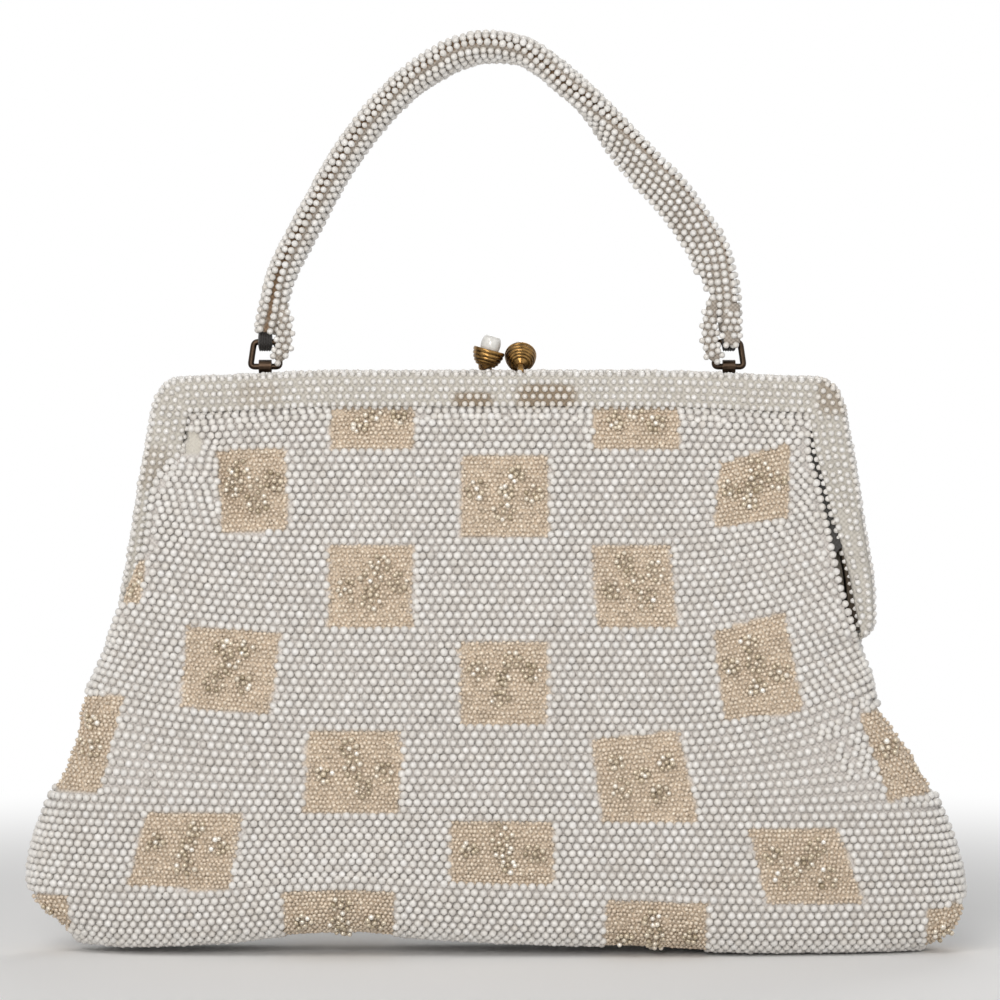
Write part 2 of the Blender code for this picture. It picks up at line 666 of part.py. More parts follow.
def sheet_mesh(name, rows, side, offset, wall):
    """A sheet through rows of points, moved inward by an offset and given a wall toward the inside."""
    bm = bmesh.new()
    grid = [[bm.verts.new((x, side * depth, z)) for x, depth, z in row] for row in rows]
    for lower, upper in zip(grid, grid[1:]):
        for column in range(len(lower) - 1):
            corners = [lower[column], lower[column + 1], upper[column + 1], upper[column]]
            if side == BACK:
                corners.reverse()
            bm.faces.new(corners)
    bm.normal_update()
    if offset:
        moves = []
        for vert in bm.verts:
            distance = offset
            if vert.co.z < LINING_FLOOR and offset < POCKET_OFFSET:
                distance += (LINING_FLOOR - offset) * (1 - vert.co.z / LINING_FLOOR)
            moves.append(-vert.normal * vert.calc_shell_factor() * distance)
        for vert, move in zip(bm.verts, moves):
            vert.co += move
            vert.co.y = side * max(side * vert.co.y, SEAM_GAP)
    mesh = bpy.data.meshes.new(name)
    bm.to_mesh(mesh)
    bm.free()
    sheet = bpy.data.objects.new(name, mesh)
    solidify = sheet.modifiers.new("wall", "SOLIDIFY")
    solidify.thickness = wall
    solidify.offset = -1.0
    solidify.use_even_offset = True
    return sheet


def back_rows(belly_shares, frame_shares, columns):
    rows = belly_rows(belly_shares, columns)
    rows.append(panel_row(HINGE_HEIGHT, columns, in_frame=False))
    span = PANEL_TOP - HINGE_HEIGHT
    rows += [panel_row(HINGE_HEIGHT + span * share, columns, in_frame=True) for share in frame_shares]
    return rows


def lower_rows(belly_shares, columns, offset):
    """The lower front cloth, up to the curved edge where the moving upper part begins."""
    rows = belly_rows(belly_shares, columns)
    limit = SPLIT_RADIUS - CLEARANCE

    def top(x):
        return split_height(x, offset, limit)

    def start(x):
        return SHOULDER_HEIGHT + SHOULDER_SLOPE

    rows += [split_row(share, start, top, columns, in_frame=False) for share in LOWER_ROW_SHARES]
    return rows


def upper_rows(row_shares, columns, offset):
    """The upper front cloth, which lies in the front frame's groove and turns with it."""
    limit = SPLIT_RADIUS + CLEARANCE

    def start(x):
        return split_height(x, offset, limit)

    def top(x):
        return PANEL_TOP

    return [split_row(share, start, top, columns, in_frame=True) for share in row_shares]


def make_panels(back, front):
    """The three pieces of beaded cloth and the three of lining behind them."""
    rows = back_rows(BELLY_ROW_SHARES, FRAME_ROW_SHARES, COLUMN_SHARES)
    place_part(sheet_mesh("back_panel", rows, BACK, 0.0, PANEL_WALL), back, BEAD_CLOTH)
    rows = lower_rows(BELLY_ROW_SHARES, COLUMN_SHARES, 0.0)
    place_part(sheet_mesh("front_lower_panel", rows, FRONT, 0.0, PANEL_WALL), back, BEAD_CLOTH)
    rows = upper_rows(UPPER_ROW_SHARES, COLUMN_SHARES, PANEL_WALL)
    place_part(sheet_mesh("front_upper_panel", rows, FRONT, 0.0, PANEL_WALL), front, BEAD_CLOTH)

    rows = back_rows(LINING_BELLY_ROW_SHARES, LINING_FRAME_ROW_SHARES, LINING_COLUMN_SHARES)
    place_part(sheet_mesh("lining_back", rows, BACK, LINING_OFFSET, LINING_WALL), back, SATIN)
    rows = lower_rows(LINING_BELLY_ROW_SHARES, LINING_COLUMN_SHARES, LINING_OFFSET)
    place_part(sheet_mesh("lining_front_lower", rows, FRONT, LINING_OFFSET, LINING_WALL), back, SATIN)
    rows = upper_rows(LINING_UPPER_ROW_SHARES, LINING_COLUMN_SHARES, LINING_OFFSET + LINING_WALL)
    place_part(sheet_mesh("lining_front_upper", rows, FRONT, LINING_OFFSET, LINING_WALL), front, SATIN)


def slip_pocket(body):
    """A flat pocket sewn to the back lining, following its curve."""
    rows = []
    for step in range(POCKET_ROWS + 1):
        z = POCKET_FOOT + POCKET_HEIGHT * step / POCKET_ROWS
        columns = range(-POCKET_HALF_COLUMNS, POCKET_HALF_COLUMNS + 1)
        xs = [POCKET_HALF_WIDTH * column / POCKET_HALF_COLUMNS for column in columns]
        rows.append([(x, depth_at(x, z), z) for x in xs])
    pocket = sheet_mesh("lining_pocket", rows, BACK, POCKET_OFFSET, POCKET_WALL)
    place_part(pocket, body, SATIN)


def side_gusset(turn, body):
    """A strip of cloth between the arms, folded inward while the bag is shut."""
    name = "side_gusset_left" if turn < 0 else "side_gusset_right"
    edge_y = GROOVE_PANEL_Y - LINING_OFFSET - LINING_WALL - CLEARANCE - GUSSET_WALL
    low = HINGE_HEIGHT + GUSSET_RISE
    high = FRAME_TOP - GUSSET_DROP
    bm = bmesh.new()
    grid = []
    for step in range(GUSSET_ROWS + 1):
        z = low + (high - low) * step / GUSSET_ROWS
        outer = contour_x(z, BAND_WIDTH + SIDE_CLEARANCE)
        places = [(outer, edge_y), (outer - GUSSET_FOLD, 0.0), (outer, -edge_y)]
        grid.append([bm.verts.new((turn * x, y, z)) for x, y in places])
    for lower, upper in zip(grid, grid[1:]):
        for column in range(len(lower) - 1):
            bm.faces.new((lower[column], lower[column + 1], upper[column + 1], upper[column]))
    gusset = mesh_object(name, bm)
    solidify = gusset.modifiers.new("wall", "SOLIDIFY")
    solidify.thickness = GUSSET_WALL
    solidify.offset = 0.0
    place_part(gusset, body, SATIN)


def base_board(body):
    """The stiffener between the bottom cloth and the lining."""
    bm = bmesh.new()
    add_block(bm, (-BOARD_HALF_LENGTH, -BOARD_HALF_WIDTH, BOARD_FOOT),
              (BOARD_HALF_LENGTH, BOARD_HALF_WIDTH, BOARD_FOOT + BOARD_THICKNESS))
    upright = [edge for edge in bm.edges if abs(edge.verts[0].co.z - edge.verts[1].co.z) > BOARD_THICKNESS / 2]
    bmesh.ops.bevel(bm, geom=upright, offset=BOARD_CORNER, segments=BOARD_CORNER_STEPS, affect="EDGES")
    place_part(mesh_object("base_board", bm), body, BOARD)


# The kiss-lock: two ribbed cups on bent posts, which pass each other beside the parting and snap


def cup_profile():
    """Section of a cup: ribs down the outside, a bore for its post and a round seat for its pearl."""
    profile = []
    bore = POST_RADIUS + CLEARANCE
    sweep = math.acos(bore / LOCK_CUP_RADIUS)
    steps = RIB_STEPS * LOCK_RIBS
    for step in range(steps + 1):
        angle = sweep * step / steps
        rib = 0.0 if step % RIB_STEPS == 0 else LOCK_RIB
        radius = (LOCK_CUP_RADIUS + rib) * math.cos(angle)
        profile.append((radius, -(LOCK_CUP_DEPTH + rib) * math.sin(angle)))
    seat = PEARL_RADIUS + CLEARANCE
    low = math.asin(bore / seat)
    high = math.acos(PEARL_RISE / seat)
    for step in range(SEAT_STEPS + 1):
        angle = low + (high - low) * step / SEAT_STEPS
        profile.append((seat * math.sin(angle), PEARL_RISE - seat * math.cos(angle)))
    return profile


CUP_AXES = {FRONT: Vector(FRONT_AXIS_SHARES).normalized(), BACK: Vector(BACK_AXIS_SHARES).normalized()}
CUP_PLACES = {
    FRONT: Vector((FRONT_CUP_X, FRONT_CUP_Y, FRAME_TOP + FRONT_CUP_RISE)),
    BACK: Vector((BACK_CUP_X, BACK_CUP_Y, FRAME_TOP + BACK_CUP_RISE)),
}


def lock_cup(side, body):
    cup = turned("clasp_cup_front" if side == FRONT else "clasp_cup_back", cup_profile(), closed=True, steps=CUP_STEPS)
    cup.location = CUP_PLACES[side]
    cup.rotation_euler = CUP_AXES[side].to_track_quat("Z", "Y").to_euler()
    return place_part(cup, body, BRASS)


def lock_pearl(side, body):
    bm = bmesh.new()
    bmesh.ops.create_uvsphere(bm, u_segments=ROUND_STEPS, v_segments=PEARL_RINGS, radius=PEARL_RADIUS)
    pearl = mesh_object("clasp_pearl_front" if side == FRONT else "clasp_pearl_back", bm)
    pearl.location = CUP_PLACES[side] + CUP_AXES[side] * PEARL_RISE
    return place_part(pearl, body, PEARL)


def lock_post(side, body):
    """A bent post: its peened head under the web, its shank through it, then over to the cup's bore."""
    name = "clasp_post_front" if side == FRONT else "clasp_post_back"
    x = POST_X[side]
    y = side * FRAME_MID_Y
    run_z = FRAME_TOP + POST_RUN_RISE
    apex = CUP_PLACES[side] - CUP_AXES[side] * LOCK_CUP_DEPTH
    entry = apex - CUP_AXES[side] * POST_RADIUS
    end = apex + CUP_AXES[side] * POST_REACH
    points = [Vector((x, y, HEAD_TOP)), Vector((x, y, run_z - POST_RADIUS))]
    points.append(Vector((x, y - side * POST_RADIUS, run_z)))
    if side == BACK:
        points.append(Vector((entry.x, entry.y + POST_RADIUS, run_z)))
    points += [entry, end]
    post = wire(name, points, POST_RADIUS)
    bm = bmesh.new()
    add_rod(bm, (x, y, HEAD_TOP - POST_HEAD_HEIGHT), (x, y, HEAD_TOP), POST_HEAD_RADIUS)
    combine(post, cutter(mesh_object(name + "_head", bm)), "UNION")
    return place_part(post, body, BRASS)


# The handle, its rings and the lugs on the top bar


def rounded_corners(corners, bend):
    """A closed outline's corners, each turned into three points of a bend."""
    points = []
    count = len(corners)
    for index, corner in enumerate(corners):
        before = (corners[index - 1] - corner).normalized()
        after = (corners[(index + 1) % count] - corner).normalized()
        points.append(corner + before * bend)
        points.append(corner + (before + after) * bend * BEND_CENTRE_SHARE)
        points.append(corner + after * bend)
    return points


def handle_ring(turn, body):
    """A bent wire ring, wider at its foot, closed through the lug and the handle's loop."""
    name = "handle_ring_left" if turn < 0 else "handle_ring_right"
    corners = [
        Vector((turn * RING_X + x, FRAME_MID_Y, RING_PIVOT_Z + z))
        for x, z in ((-RING_HALF_FOOT, 0.0), (RING_HALF_FOOT, 0.0), (RING_HALF_TOP, RING_HEIGHT),
                     (-RING_HALF_TOP, RING_HEIGHT))
    ]
    ring = wire(name, rounded_corners(corners, RING_BEND), RING_WIRE_RADIUS, closed=True)
    return place_part(ring, body, BRONZE)


def handle_lug(turn, body):
    """A barrel that the ring turns in, on a shank peened under the top bar's web."""
    name = "handle_lug_left" if turn < 0 else "handle_lug_right"
    x = turn * RING_X
    y = FRAME_MID_Y
    half = LUG_LENGTH / 2
    bm = bmesh.new()
    add_rod(bm, (x - half, y, RING_PIVOT_Z), (x + half, y, RING_PIVOT_Z), LUG_RADIUS)
    lug = mesh_object(name, bm)
    bm = bmesh.new()
    add_rod(bm, (x, y, HEAD_TOP - POST_HEAD_HEIGHT / 2), (x, y, RING_PIVOT_Z - RING_WIRE_RADIUS), POST_RADIUS)
    combine(lug, cutter(mesh_object(name + "_shank", bm)), "UNION")
    bm = bmesh.new()
    add_rod(bm, (x, y, HEAD_TOP - POST_HEAD_HEIGHT), (x, y, HEAD_TOP), POST_HEAD_RADIUS)
    combine(lug, cutter(mesh_object(name + "_head", bm)), "UNION")
    bm = bmesh.new()
    add_rod(bm, (x - LUG_LENGTH, y, RING_PIVOT_Z), (x + LUG_LENGTH, y, RING_PIVOT_Z), RING_BORE)
    combine(lug, cutter(mesh_object(name + "_bore", bm)), "DIFFERENCE")
    return place_part(lug, body, BRONZE)


def handle_route():
    """Centre points and seam directions of the handle."""
    points = []
    for x_share, z_share, _ in HANDLE_ROUTE_SHARES:
        points.append(Vector((x_share * RING_X, FRAME_MID_Y, RING_TOP_Z + z_share * HANDLE_RISE)))
    frames = []
    for index, (_, _, degrees) in enumerate(HANDLE_ROUTE_SHARES):
        ahead = points[min(index + 1, len(points) - 1)]
        behind = points[max(index - 1, 0)]
        along = (ahead - behind).normalized()
        outward = Vector((-along.z, 0.0, along.x))
        turn = math.radians(degrees)
        seam = Vector((0.0, -math.cos(turn), 0.0)) - outward * math.sin(turn)
        frames.append((points[index], seam, along.cross(seam).normalized()))
    return frames


def taper(distance):
    share = (distance - HANDLE_TAPER_START) / (HANDLE_TAPER_END - HANDLE_TAPER_START)
    return min(max(share, 0.0), 1.0)


def handle_tube(inset, sides, skip):
    """The handle's outer surface moved in by an inset, as an open tube of rings of points."""
    frames = handle_route()
    bm = bmesh.new()
    rings = []
    last = len(frames) - 1
    for index, (centre, seam, across) in enumerate(frames):
        if not skip <= index <= last - skip:
            continue
        distance = min((centre - frames[0][0]).length, (centre - frames[last][0]).length)
        share = taper(distance)
        width = HANDLE_END_HALF_WIDTH + (HANDLE_HALF_WIDTH - HANDLE_END_HALF_WIDTH) * share - inset
        thick = HANDLE_END_HALF_THICKNESS + (HANDLE_HALF_THICKNESS - HANDLE_END_HALF_THICKNESS) * share - inset
        ring = []
        for step in range(sides):
            angle = FULL_TURN * step / sides
            ring.append(bm.verts.new(centre + seam * width * math.cos(angle) + across * thick * math.sin(angle)))
        rings.append(ring)
    for first, second in zip(rings, rings[1:]):
        for step in range(sides):
            after = (step + 1) % sides
            bm.faces.new((first[step], first[after], second[after], second[step]))
    return bm, rings


def handle_sleeve(body):
    bm, _ = handle_tube(0.0, SLEEVE_SIDES, skip=0)
    sleeve = mesh_object("handle_sleeve", bm)
    solidify = sleeve.modifiers.new("wall", "SOLIDIFY")
    solidify.thickness = SLEEVE_WALL
    solidify.offset = -1.0
    return place_part(sleeve, body, BEAD_CLOTH)


def handle_core(body):
    bm, rings = handle_tube(SLEEVE_WALL + 2 * CLEARANCE, CORE_SIDES, CORE_SKIP_STEPS)
    bm.faces.new(list(reversed(rings[0])))
    bm.faces.new(rings[-1])
    return place_part(mesh_object("handle_core", bm), body, CORD)


def handle_loop(turn, body):
    """A loop round the ring's upper bar, with a tongue that is sewn into the sleeve's end."""
    name = "handle_loop_left" if turn < 0 else "handle_loop_right"
    frames = handle_route()
    bar = Vector((turn * RING_X, FRAME_MID_Y, RING_TOP_Z))
    target = frames[1][0] if turn < 0 else frames[-3][0]
    half = LOOP_WIDTH / 2
    bm = bmesh.new()
    add_rod(bm, bar - Vector((half, 0.0, 0.0)), bar + Vector((half, 0.0, 0.0)), LOOP_RADIUS)
    loop = mesh_object(name, bm)
    along = (target - bar).normalized()
    turn_up = along.to_track_quat("Z", "Y").to_matrix().to_4x4()
    centre = bar + along * (RING_BORE + TONGUE_LENGTH) / 2
    size = (2 * TONGUE_HALF_WIDTH, 2 * TONGUE_HALF_THICKNESS, TONGUE_LENGTH - RING_BORE)
    bm = bmesh.new()
    bmesh.ops.create_cube(
        bm, size=1.0, matrix=Matrix.Translation(centre) @ turn_up @ Matrix.Diagonal((*size, 1.0)),
    )
    combine(loop, cutter(mesh_object(name + "_tongue", bm)), "UNION")
    bm = bmesh.new()
    reach = Vector((LOOP_WIDTH, 0.0, 0.0))
    add_rod(bm, bar - reach, bar + reach, RING_BORE)
    combine(loop, cutter(mesh_object(name + "_bore", bm)), "DIFFERENCE")
    return place_part(loop, body, BEAD_CLOTH)


def build():
    back = add_body("back_half", (0.0, 0.0, 0.0))
    front = add_body("front_half", (0.0, 0.0, HINGE_HEIGHT))
    ring_left = add_body("ring_left", (-RING_X, FRAME_MID_Y, RING_PIVOT_Z))
    ring_right = add_body("ring_right", (RING_X, FRAME_MID_Y, RING_PIVOT_Z))
    handle = add_body("handle", (-RING_X, FRAME_MID_Y, RING_TOP_Z))
    for side, body in ((BACK, back), (FRONT, front)):
        frame_channel(side, body)
        frame_cover(side, body)
        lock_post(side, body)
        lock_cup(side, body)
        lock_pearl(side, body)
    make_panels(back, front)
    slip_pocket(back)
    base_board(back)
    for turn, ring in ((-1, ring_left), (1, ring_right)):
        hinge_rivet(turn, back)
        side_gusset(turn, back)
        handle_lug(turn, back)
        handle_ring(turn, ring)
        handle_loop(turn, handle)
    handle_sleeve(handle)
    handle_core(handle)


build()
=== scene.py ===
"""Looks of the beaded handbag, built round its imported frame. Blender 4.5, metres, +Z up, front toward -Y."""
import json
import math

import bmesh
import bpy
import numpy as np
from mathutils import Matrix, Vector
from mathutils.kdtree import KDTree


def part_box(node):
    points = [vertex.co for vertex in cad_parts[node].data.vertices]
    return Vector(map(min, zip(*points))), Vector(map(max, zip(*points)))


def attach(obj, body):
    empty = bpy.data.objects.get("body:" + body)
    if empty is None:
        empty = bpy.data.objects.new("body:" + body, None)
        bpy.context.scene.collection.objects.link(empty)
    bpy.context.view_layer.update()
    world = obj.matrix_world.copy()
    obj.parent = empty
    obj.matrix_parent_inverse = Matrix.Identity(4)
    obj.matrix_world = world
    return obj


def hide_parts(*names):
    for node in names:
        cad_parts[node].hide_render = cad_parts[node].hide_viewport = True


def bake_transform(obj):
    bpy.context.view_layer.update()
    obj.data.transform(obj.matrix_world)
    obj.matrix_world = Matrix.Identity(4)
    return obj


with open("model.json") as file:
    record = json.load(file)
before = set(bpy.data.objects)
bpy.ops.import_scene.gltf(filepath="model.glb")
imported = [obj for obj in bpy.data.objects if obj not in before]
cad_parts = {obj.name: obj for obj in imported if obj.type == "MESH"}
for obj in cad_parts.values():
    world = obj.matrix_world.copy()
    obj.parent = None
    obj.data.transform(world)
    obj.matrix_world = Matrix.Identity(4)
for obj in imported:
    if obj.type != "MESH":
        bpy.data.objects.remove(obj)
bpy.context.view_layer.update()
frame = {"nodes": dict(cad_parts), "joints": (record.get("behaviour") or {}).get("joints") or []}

# Studio: a pale floor, soft lamps above and beside the bag, and a long lens at the photograph's level angle.
# The floor and the world show white to the camera, and the floor keeps the bag's shadow.
PHOTO_PIXELS = 1000
PHOTO_SPAN = 0.275
PIXEL = PHOTO_SPAN / PHOTO_PIXELS
VIEW_X = 0.0008
VIEW_Z = 0.12375
LENS_MM = 135.0
SENSOR_MM = 36.0
VIEW_DISTANCE = PHOTO_SPAN * LENS_MM / SENSOR_MM
FLOOR_HALF = 3.0
FLOOR_NEAR = 0.22
FLOOR_FAR = 0.60
FLOOR_COLOUR = (0.93, 0.93, 0.93, 1.0)
AMBIENT = 0.34
LAMPS = (
    ("key_lamp", (-0.40, -0.85, 1.00), 0.12, (0.6, 0.6), 4.0, (1.0, 0.98, 0.955)),
    ("front_lamp", (-0.16, -1.15, 0.34), 0.10, (0.4, 0.4), 5.7, (1.0, 0.975, 0.945)),
    ("fill_lamp", (0.75, -0.80, 0.45), 0.12, (0.8, 0.8), 1.4, (1.0, 1.0, 1.0)),
    ("rim_lamp", (0.20, 0.95, 0.80), 0.12, (0.6, 0.6), 3.0, (1.0, 1.0, 1.0)),
)

camera_data = bpy.data.cameras.new("camera")
camera_data.lens = LENS_MM
camera_data.sensor_width = SENSOR_MM
camera = bpy.data.objects.new("camera", camera_data)
camera.location = (VIEW_X, -VIEW_DISTANCE, VIEW_Z)
camera.rotation_euler = (math.radians(90), 0.0, 0.0)
bpy.context.scene.collection.objects.link(camera)
bpy.context.scene.camera = camera
bpy.context.scene.view_settings.view_transform = "Standard"


def new_material(name):
    """An empty material: its node tree, its Principled BSDF and its output."""
    material = bpy.data.materials.new(name)
    material.use_nodes = True
    tree = material.node_tree
    return material, tree, tree.nodes["Principled BSDF"], tree.nodes["Material Output"]


def add_node(tree, kind, settings=None, **values):
    """A node with its settings, and its inputs set to a value or joined to another socket."""
    node = tree.nodes.new(kind)
    for key, value in (settings or {}).items():
        setattr(node, key, value)
    for key, value in values.items():
        socket = node.inputs[int(key[1:]) if key[0] == "i" and key[1:].isdigit() else key.replace("_", " ")]
        if isinstance(value, bpy.types.NodeSocket):
            tree.links.new(value, socket)
        else:
            socket.default_value = value
    return node


def add_ramp(tree, share, *colours):
    """A colour ramp of evenly spaced colours. Gives its colour socket."""
    ramp = add_node(tree, "ShaderNodeValToRGB", i0=share)
    ends = ramp.color_ramp.elements
    ends[0].color, ends[1].color = (*colours[0], 1.0), (*colours[-1], 1.0)
    for index, colour in enumerate(colours[1:-1], 1):
        ends.new(index / (len(colours) - 1)).color = (*colour, 1.0)
    return ramp.outputs["Color"]


def camera_side(tree):
    """1 for rays that show the background: camera, glossy and transmission rays."""
    path = add_node(tree, "ShaderNodeLightPath")
    either = add_node(tree, "ShaderNodeMath", {"operation": "MAXIMUM"},
                      i0=path.outputs["Is Camera Ray"], i1=path.outputs["Is Glossy Ray"])
    return add_node(tree, "ShaderNodeMath", {"operation": "MAXIMUM"},
                    i0=either.outputs[0], i1=path.outputs["Is Transmission Ray"]).outputs[0]


world = bpy.data.worlds.new("studio")
world.use_nodes = True
bpy.context.scene.world = world
sky = world.node_tree
sky_level = add_node(sky, "ShaderNodeMapRange", i0=camera_side(sky), To_Min=AMBIENT, To_Max=1.0)
sky.links.new(sky_level.outputs[0], sky.nodes["Background"].inputs["Strength"])
sky.nodes["Background"].inputs["Color"].default_value = (1.0, 1.0, 1.0, 1.0)

bm = bmesh.new()
bmesh.ops.create_grid(bm, x_segments=1, y_segments=1, size=FLOOR_HALF)
floor_mesh = bpy.data.meshes.new("floor")
bm.to_mesh(floor_mesh)
bm.free()
floor = bpy.data.objects.new("floor", floor_mesh)
bpy.context.scene.collection.objects.link(floor)
floor_finish, tree, shader, output = new_material("floor_paper")
shader.inputs["Base Color"].default_value = FLOOR_COLOUR
shader.inputs["Roughness"].default_value = 0.9
shader.inputs["Specular IOR Level"].default_value = 0.0
place = add_node(tree, "ShaderNodeTexCoord")
reach = add_node(tree, "ShaderNodeVectorMath", {"operation": "LENGTH"}, i0=place.outputs["Object"])
fade = add_node(tree, "ShaderNodeMapRange", {"interpolation_type": "SMOOTHSTEP"}, i0=reach.outputs["Value"],
                From_Min=FLOOR_NEAR, From_Max=FLOOR_FAR)
shown = add_node(tree, "ShaderNodeMath", {"operation": "MULTIPLY"}, i0=fade.outputs[0], i1=camera_side(tree))
white = add_node(tree, "ShaderNodeEmission")
blend = add_node(tree, "ShaderNodeMixShader", i0=shown.outputs[0], i1=shader.outputs[0], i2=white.outputs[0])
tree.links.new(blend.outputs[0], output.inputs["Surface"])
floor_mesh.materials.append(floor_finish)

for name, spot, aim_height, (width, height), power, colour in LAMPS:
    lamp_data = bpy.data.lights.new(name, "AREA")
    lamp_data.shape = "RECTANGLE"
    lamp_data.size, lamp_data.size_y = width, height
    lamp_data.energy = power
    lamp_data.color = colour
    lamp = bpy.data.objects.new(name, lamp_data)
    lamp.location = spot
    lamp.rotation_euler = (Vector((0.0, 0.0, aim_height)) - Vector(spot)).to_track_quat("-Z", "Y").to_euler()
    lamp.visible_camera = False
    bpy.context.scene.collection.objects.link(lamp)

# Front and back cloth: one cut of net each, sewn together down the sides and under the base, held by the frame.
# It is tightly woven cotton, grey-beige between the beads, and it bulges, folds at the corners and lifts off the floor.
FRONT = -1
BACK = 1
PANEL_TOP = 0.155
PANEL_FOOT = 0.0020
SEAM_HALF_GAP = 0.0006
CLOTH_WALL = 0.0006
LAND_SHARE = 0.08
SECTION_POWER = 2.9
BELLY_ROUNDNESS = 0.36
FRAME_ROUNDNESS = 0.8
HINGE_LOW = 0.078
HINGE_HIGH = 0.104
NO_LENGTH = 1e-12
ACROSS_STEP = 0.004
RUN_STEP = 0.0004
# (height, depth of the cloth's outer face in the middle)
MIDDLE_DEPTH = (
    (0.0, 0.0151), (0.0015, 0.0175), (0.004, 0.0199), (0.008, 0.0217), (0.015, 0.0230), (0.025, 0.0232),
    (0.040, 0.0222), (0.055, 0.0204), (0.070, 0.0182), (0.082, 0.0161), (0.091, 0.0147), (0.100, 0.0133),
    (0.110, 0.0119), (0.120, 0.0105), (0.130, 0.0091), (0.140, 0.0075), (0.1465, 0.0062), (0.150, 0.0056),
    (PANEL_TOP, 0.0056),
)
# (height, half width) of each cloth on each side
FRONT_LEFT = (
    (0.0, 0.115), (0.0015, 0.1172), (0.004, 0.1196), (0.0065, 0.1230), (0.011, 0.1268), (0.017, 0.1279),
    (0.024, 0.1273), (0.030, 0.1258), (0.0358, 0.1239), (0.0413, 0.1219), (0.0468, 0.1189), (0.0523, 0.1167),
    (0.0578, 0.1150), (0.0633, 0.1141), (0.0688, 0.1126), (0.0743, 0.1098), (0.0798, 0.1074), (0.085, 0.1052),
    (0.091, 0.1030), (0.098, 0.1010), (0.1034, 0.0990), (0.1070, 0.0972), (0.1106, 0.0957), (0.115, 0.0950),
    (0.1194, 0.0945), (0.125, 0.0935), (0.1293, 0.0920), (0.134, 0.0888), (0.1385, 0.0856), (0.141, 0.0842),
    (0.1488, 0.0842), (PANEL_TOP, 0.0842),
)
FRONT_RIGHT = (
    (0.0, 0.1175), (0.0015, 0.1205), (0.0035, 0.1240), (0.006, 0.1262), (0.009, 0.1273), (0.014, 0.1274),
    (0.0193, 0.1270), (0.0248, 0.1256), (0.0303, 0.1241), (0.0358, 0.1219), (0.0413, 0.1197), (0.0468, 0.1167),
    (0.0523, 0.1137), (0.0578, 0.1097), (0.0633, 0.1058), (0.0688, 0.1028), (0.0743, 0.1018), (0.0798, 0.0997),
    (0.0839, 0.0978), (0.088, 0.0963), (0.093, 0.0948), (0.099, 0.0931), (0.110, 0.0908), (0.119, 0.0890),
    (0.1306, 0.0864), (0.139, 0.0847), (0.1488, 0.0850), (PANEL_TOP, 0.0850),
)
BACK_LEFT = FRONT_LEFT[:17] + (
    (0.084, 0.1055), (0.088, 0.0985), (0.091, 0.0932), (0.098, 0.0922), (0.107, 0.0918), (0.121, 0.0902),
    (0.131, 0.0884), (0.1375, 0.0870), (0.1488, 0.0868), (PANEL_TOP, 0.0868),
)
BACK_RIGHT = FRONT_RIGHT[:18] + BACK_LEFT[18:]
# (height, depth where the cloth's face ends) on each side
FRONT_LEFT_EDGE = (
    (0.0, 0.0004), (0.077, 0.0004), (0.080, 0.0010), (0.083, 0.0032), (0.086, 0.0066), (0.090, 0.0092),
    (0.098, 0.0096), (0.121, 0.0096), (0.128, 0.0096), (0.1325, 0.0092), (0.1355, 0.0078), (0.1395, 0.0058),
    (PANEL_TOP, 0.0056),
)
FRONT_RIGHT_EDGE = (
    (0.0, 0.0004), (0.076, 0.0004), (0.079, 0.0009), (0.082, 0.0024), (0.085, 0.0055), (0.088, 0.0088),
    (0.093, 0.0096), (0.104, 0.0096), (0.110, 0.0078), (0.116, 0.0060), (0.124, 0.0056), (PANEL_TOP, 0.0056),
)
BACK_EDGE = (
    (0.0, 0.0004), (0.078, 0.0004), (0.081, 0.0010), (0.085, 0.0030), (0.088, 0.0046), (0.0915, 0.0056),
    (PANEL_TOP, 0.0056),
)
# (height, how far a flat land of cloth runs on into the frame's groove)
FRONT_LEFT_LAND = ((0.0, 0.0), (0.1355, 0.0), (0.1395, 0.0095), (0.150, 0.0095), (PANEL_TOP, 0.0012))
FRONT_RIGHT_LAND = ((0.0, 0.0), (0.106, 0.0), (0.117, 0.0095), (0.139, 0.0105), (0.150, 0.0095), (PANEL_TOP, 0.0012))
BACK_LAND = ((0.0, 0.0), (0.090, 0.0), (0.094, 0.0070), (0.150, 0.0070), (PANEL_TOP, 0.0012))
# (place across, lift of the cloth's lower edge off the floor)
FLOOR_LIFT = (
    (-0.130, 0.0030), (-0.100, 0.0014), (-0.075, 0.0026), (-0.055, 0.0048), (-0.040, 0.0054), (-0.020, 0.0040),
    (0.005, 0.0026), (0.040, 0.0016), (0.060, 0.0004), (0.075, 0.0), (0.130, 0.0),
)
LIFT_FADE = 0.045
# The frame's bar bows down toward its corners, and the cloth under it follows
BAR_DROP = 0.0017
BAR_DROP_START = 0.040
BAR_DROP_END = 0.092
BAR_DROP_LOW = 0.120
BAR_DROP_HIGH = 0.148
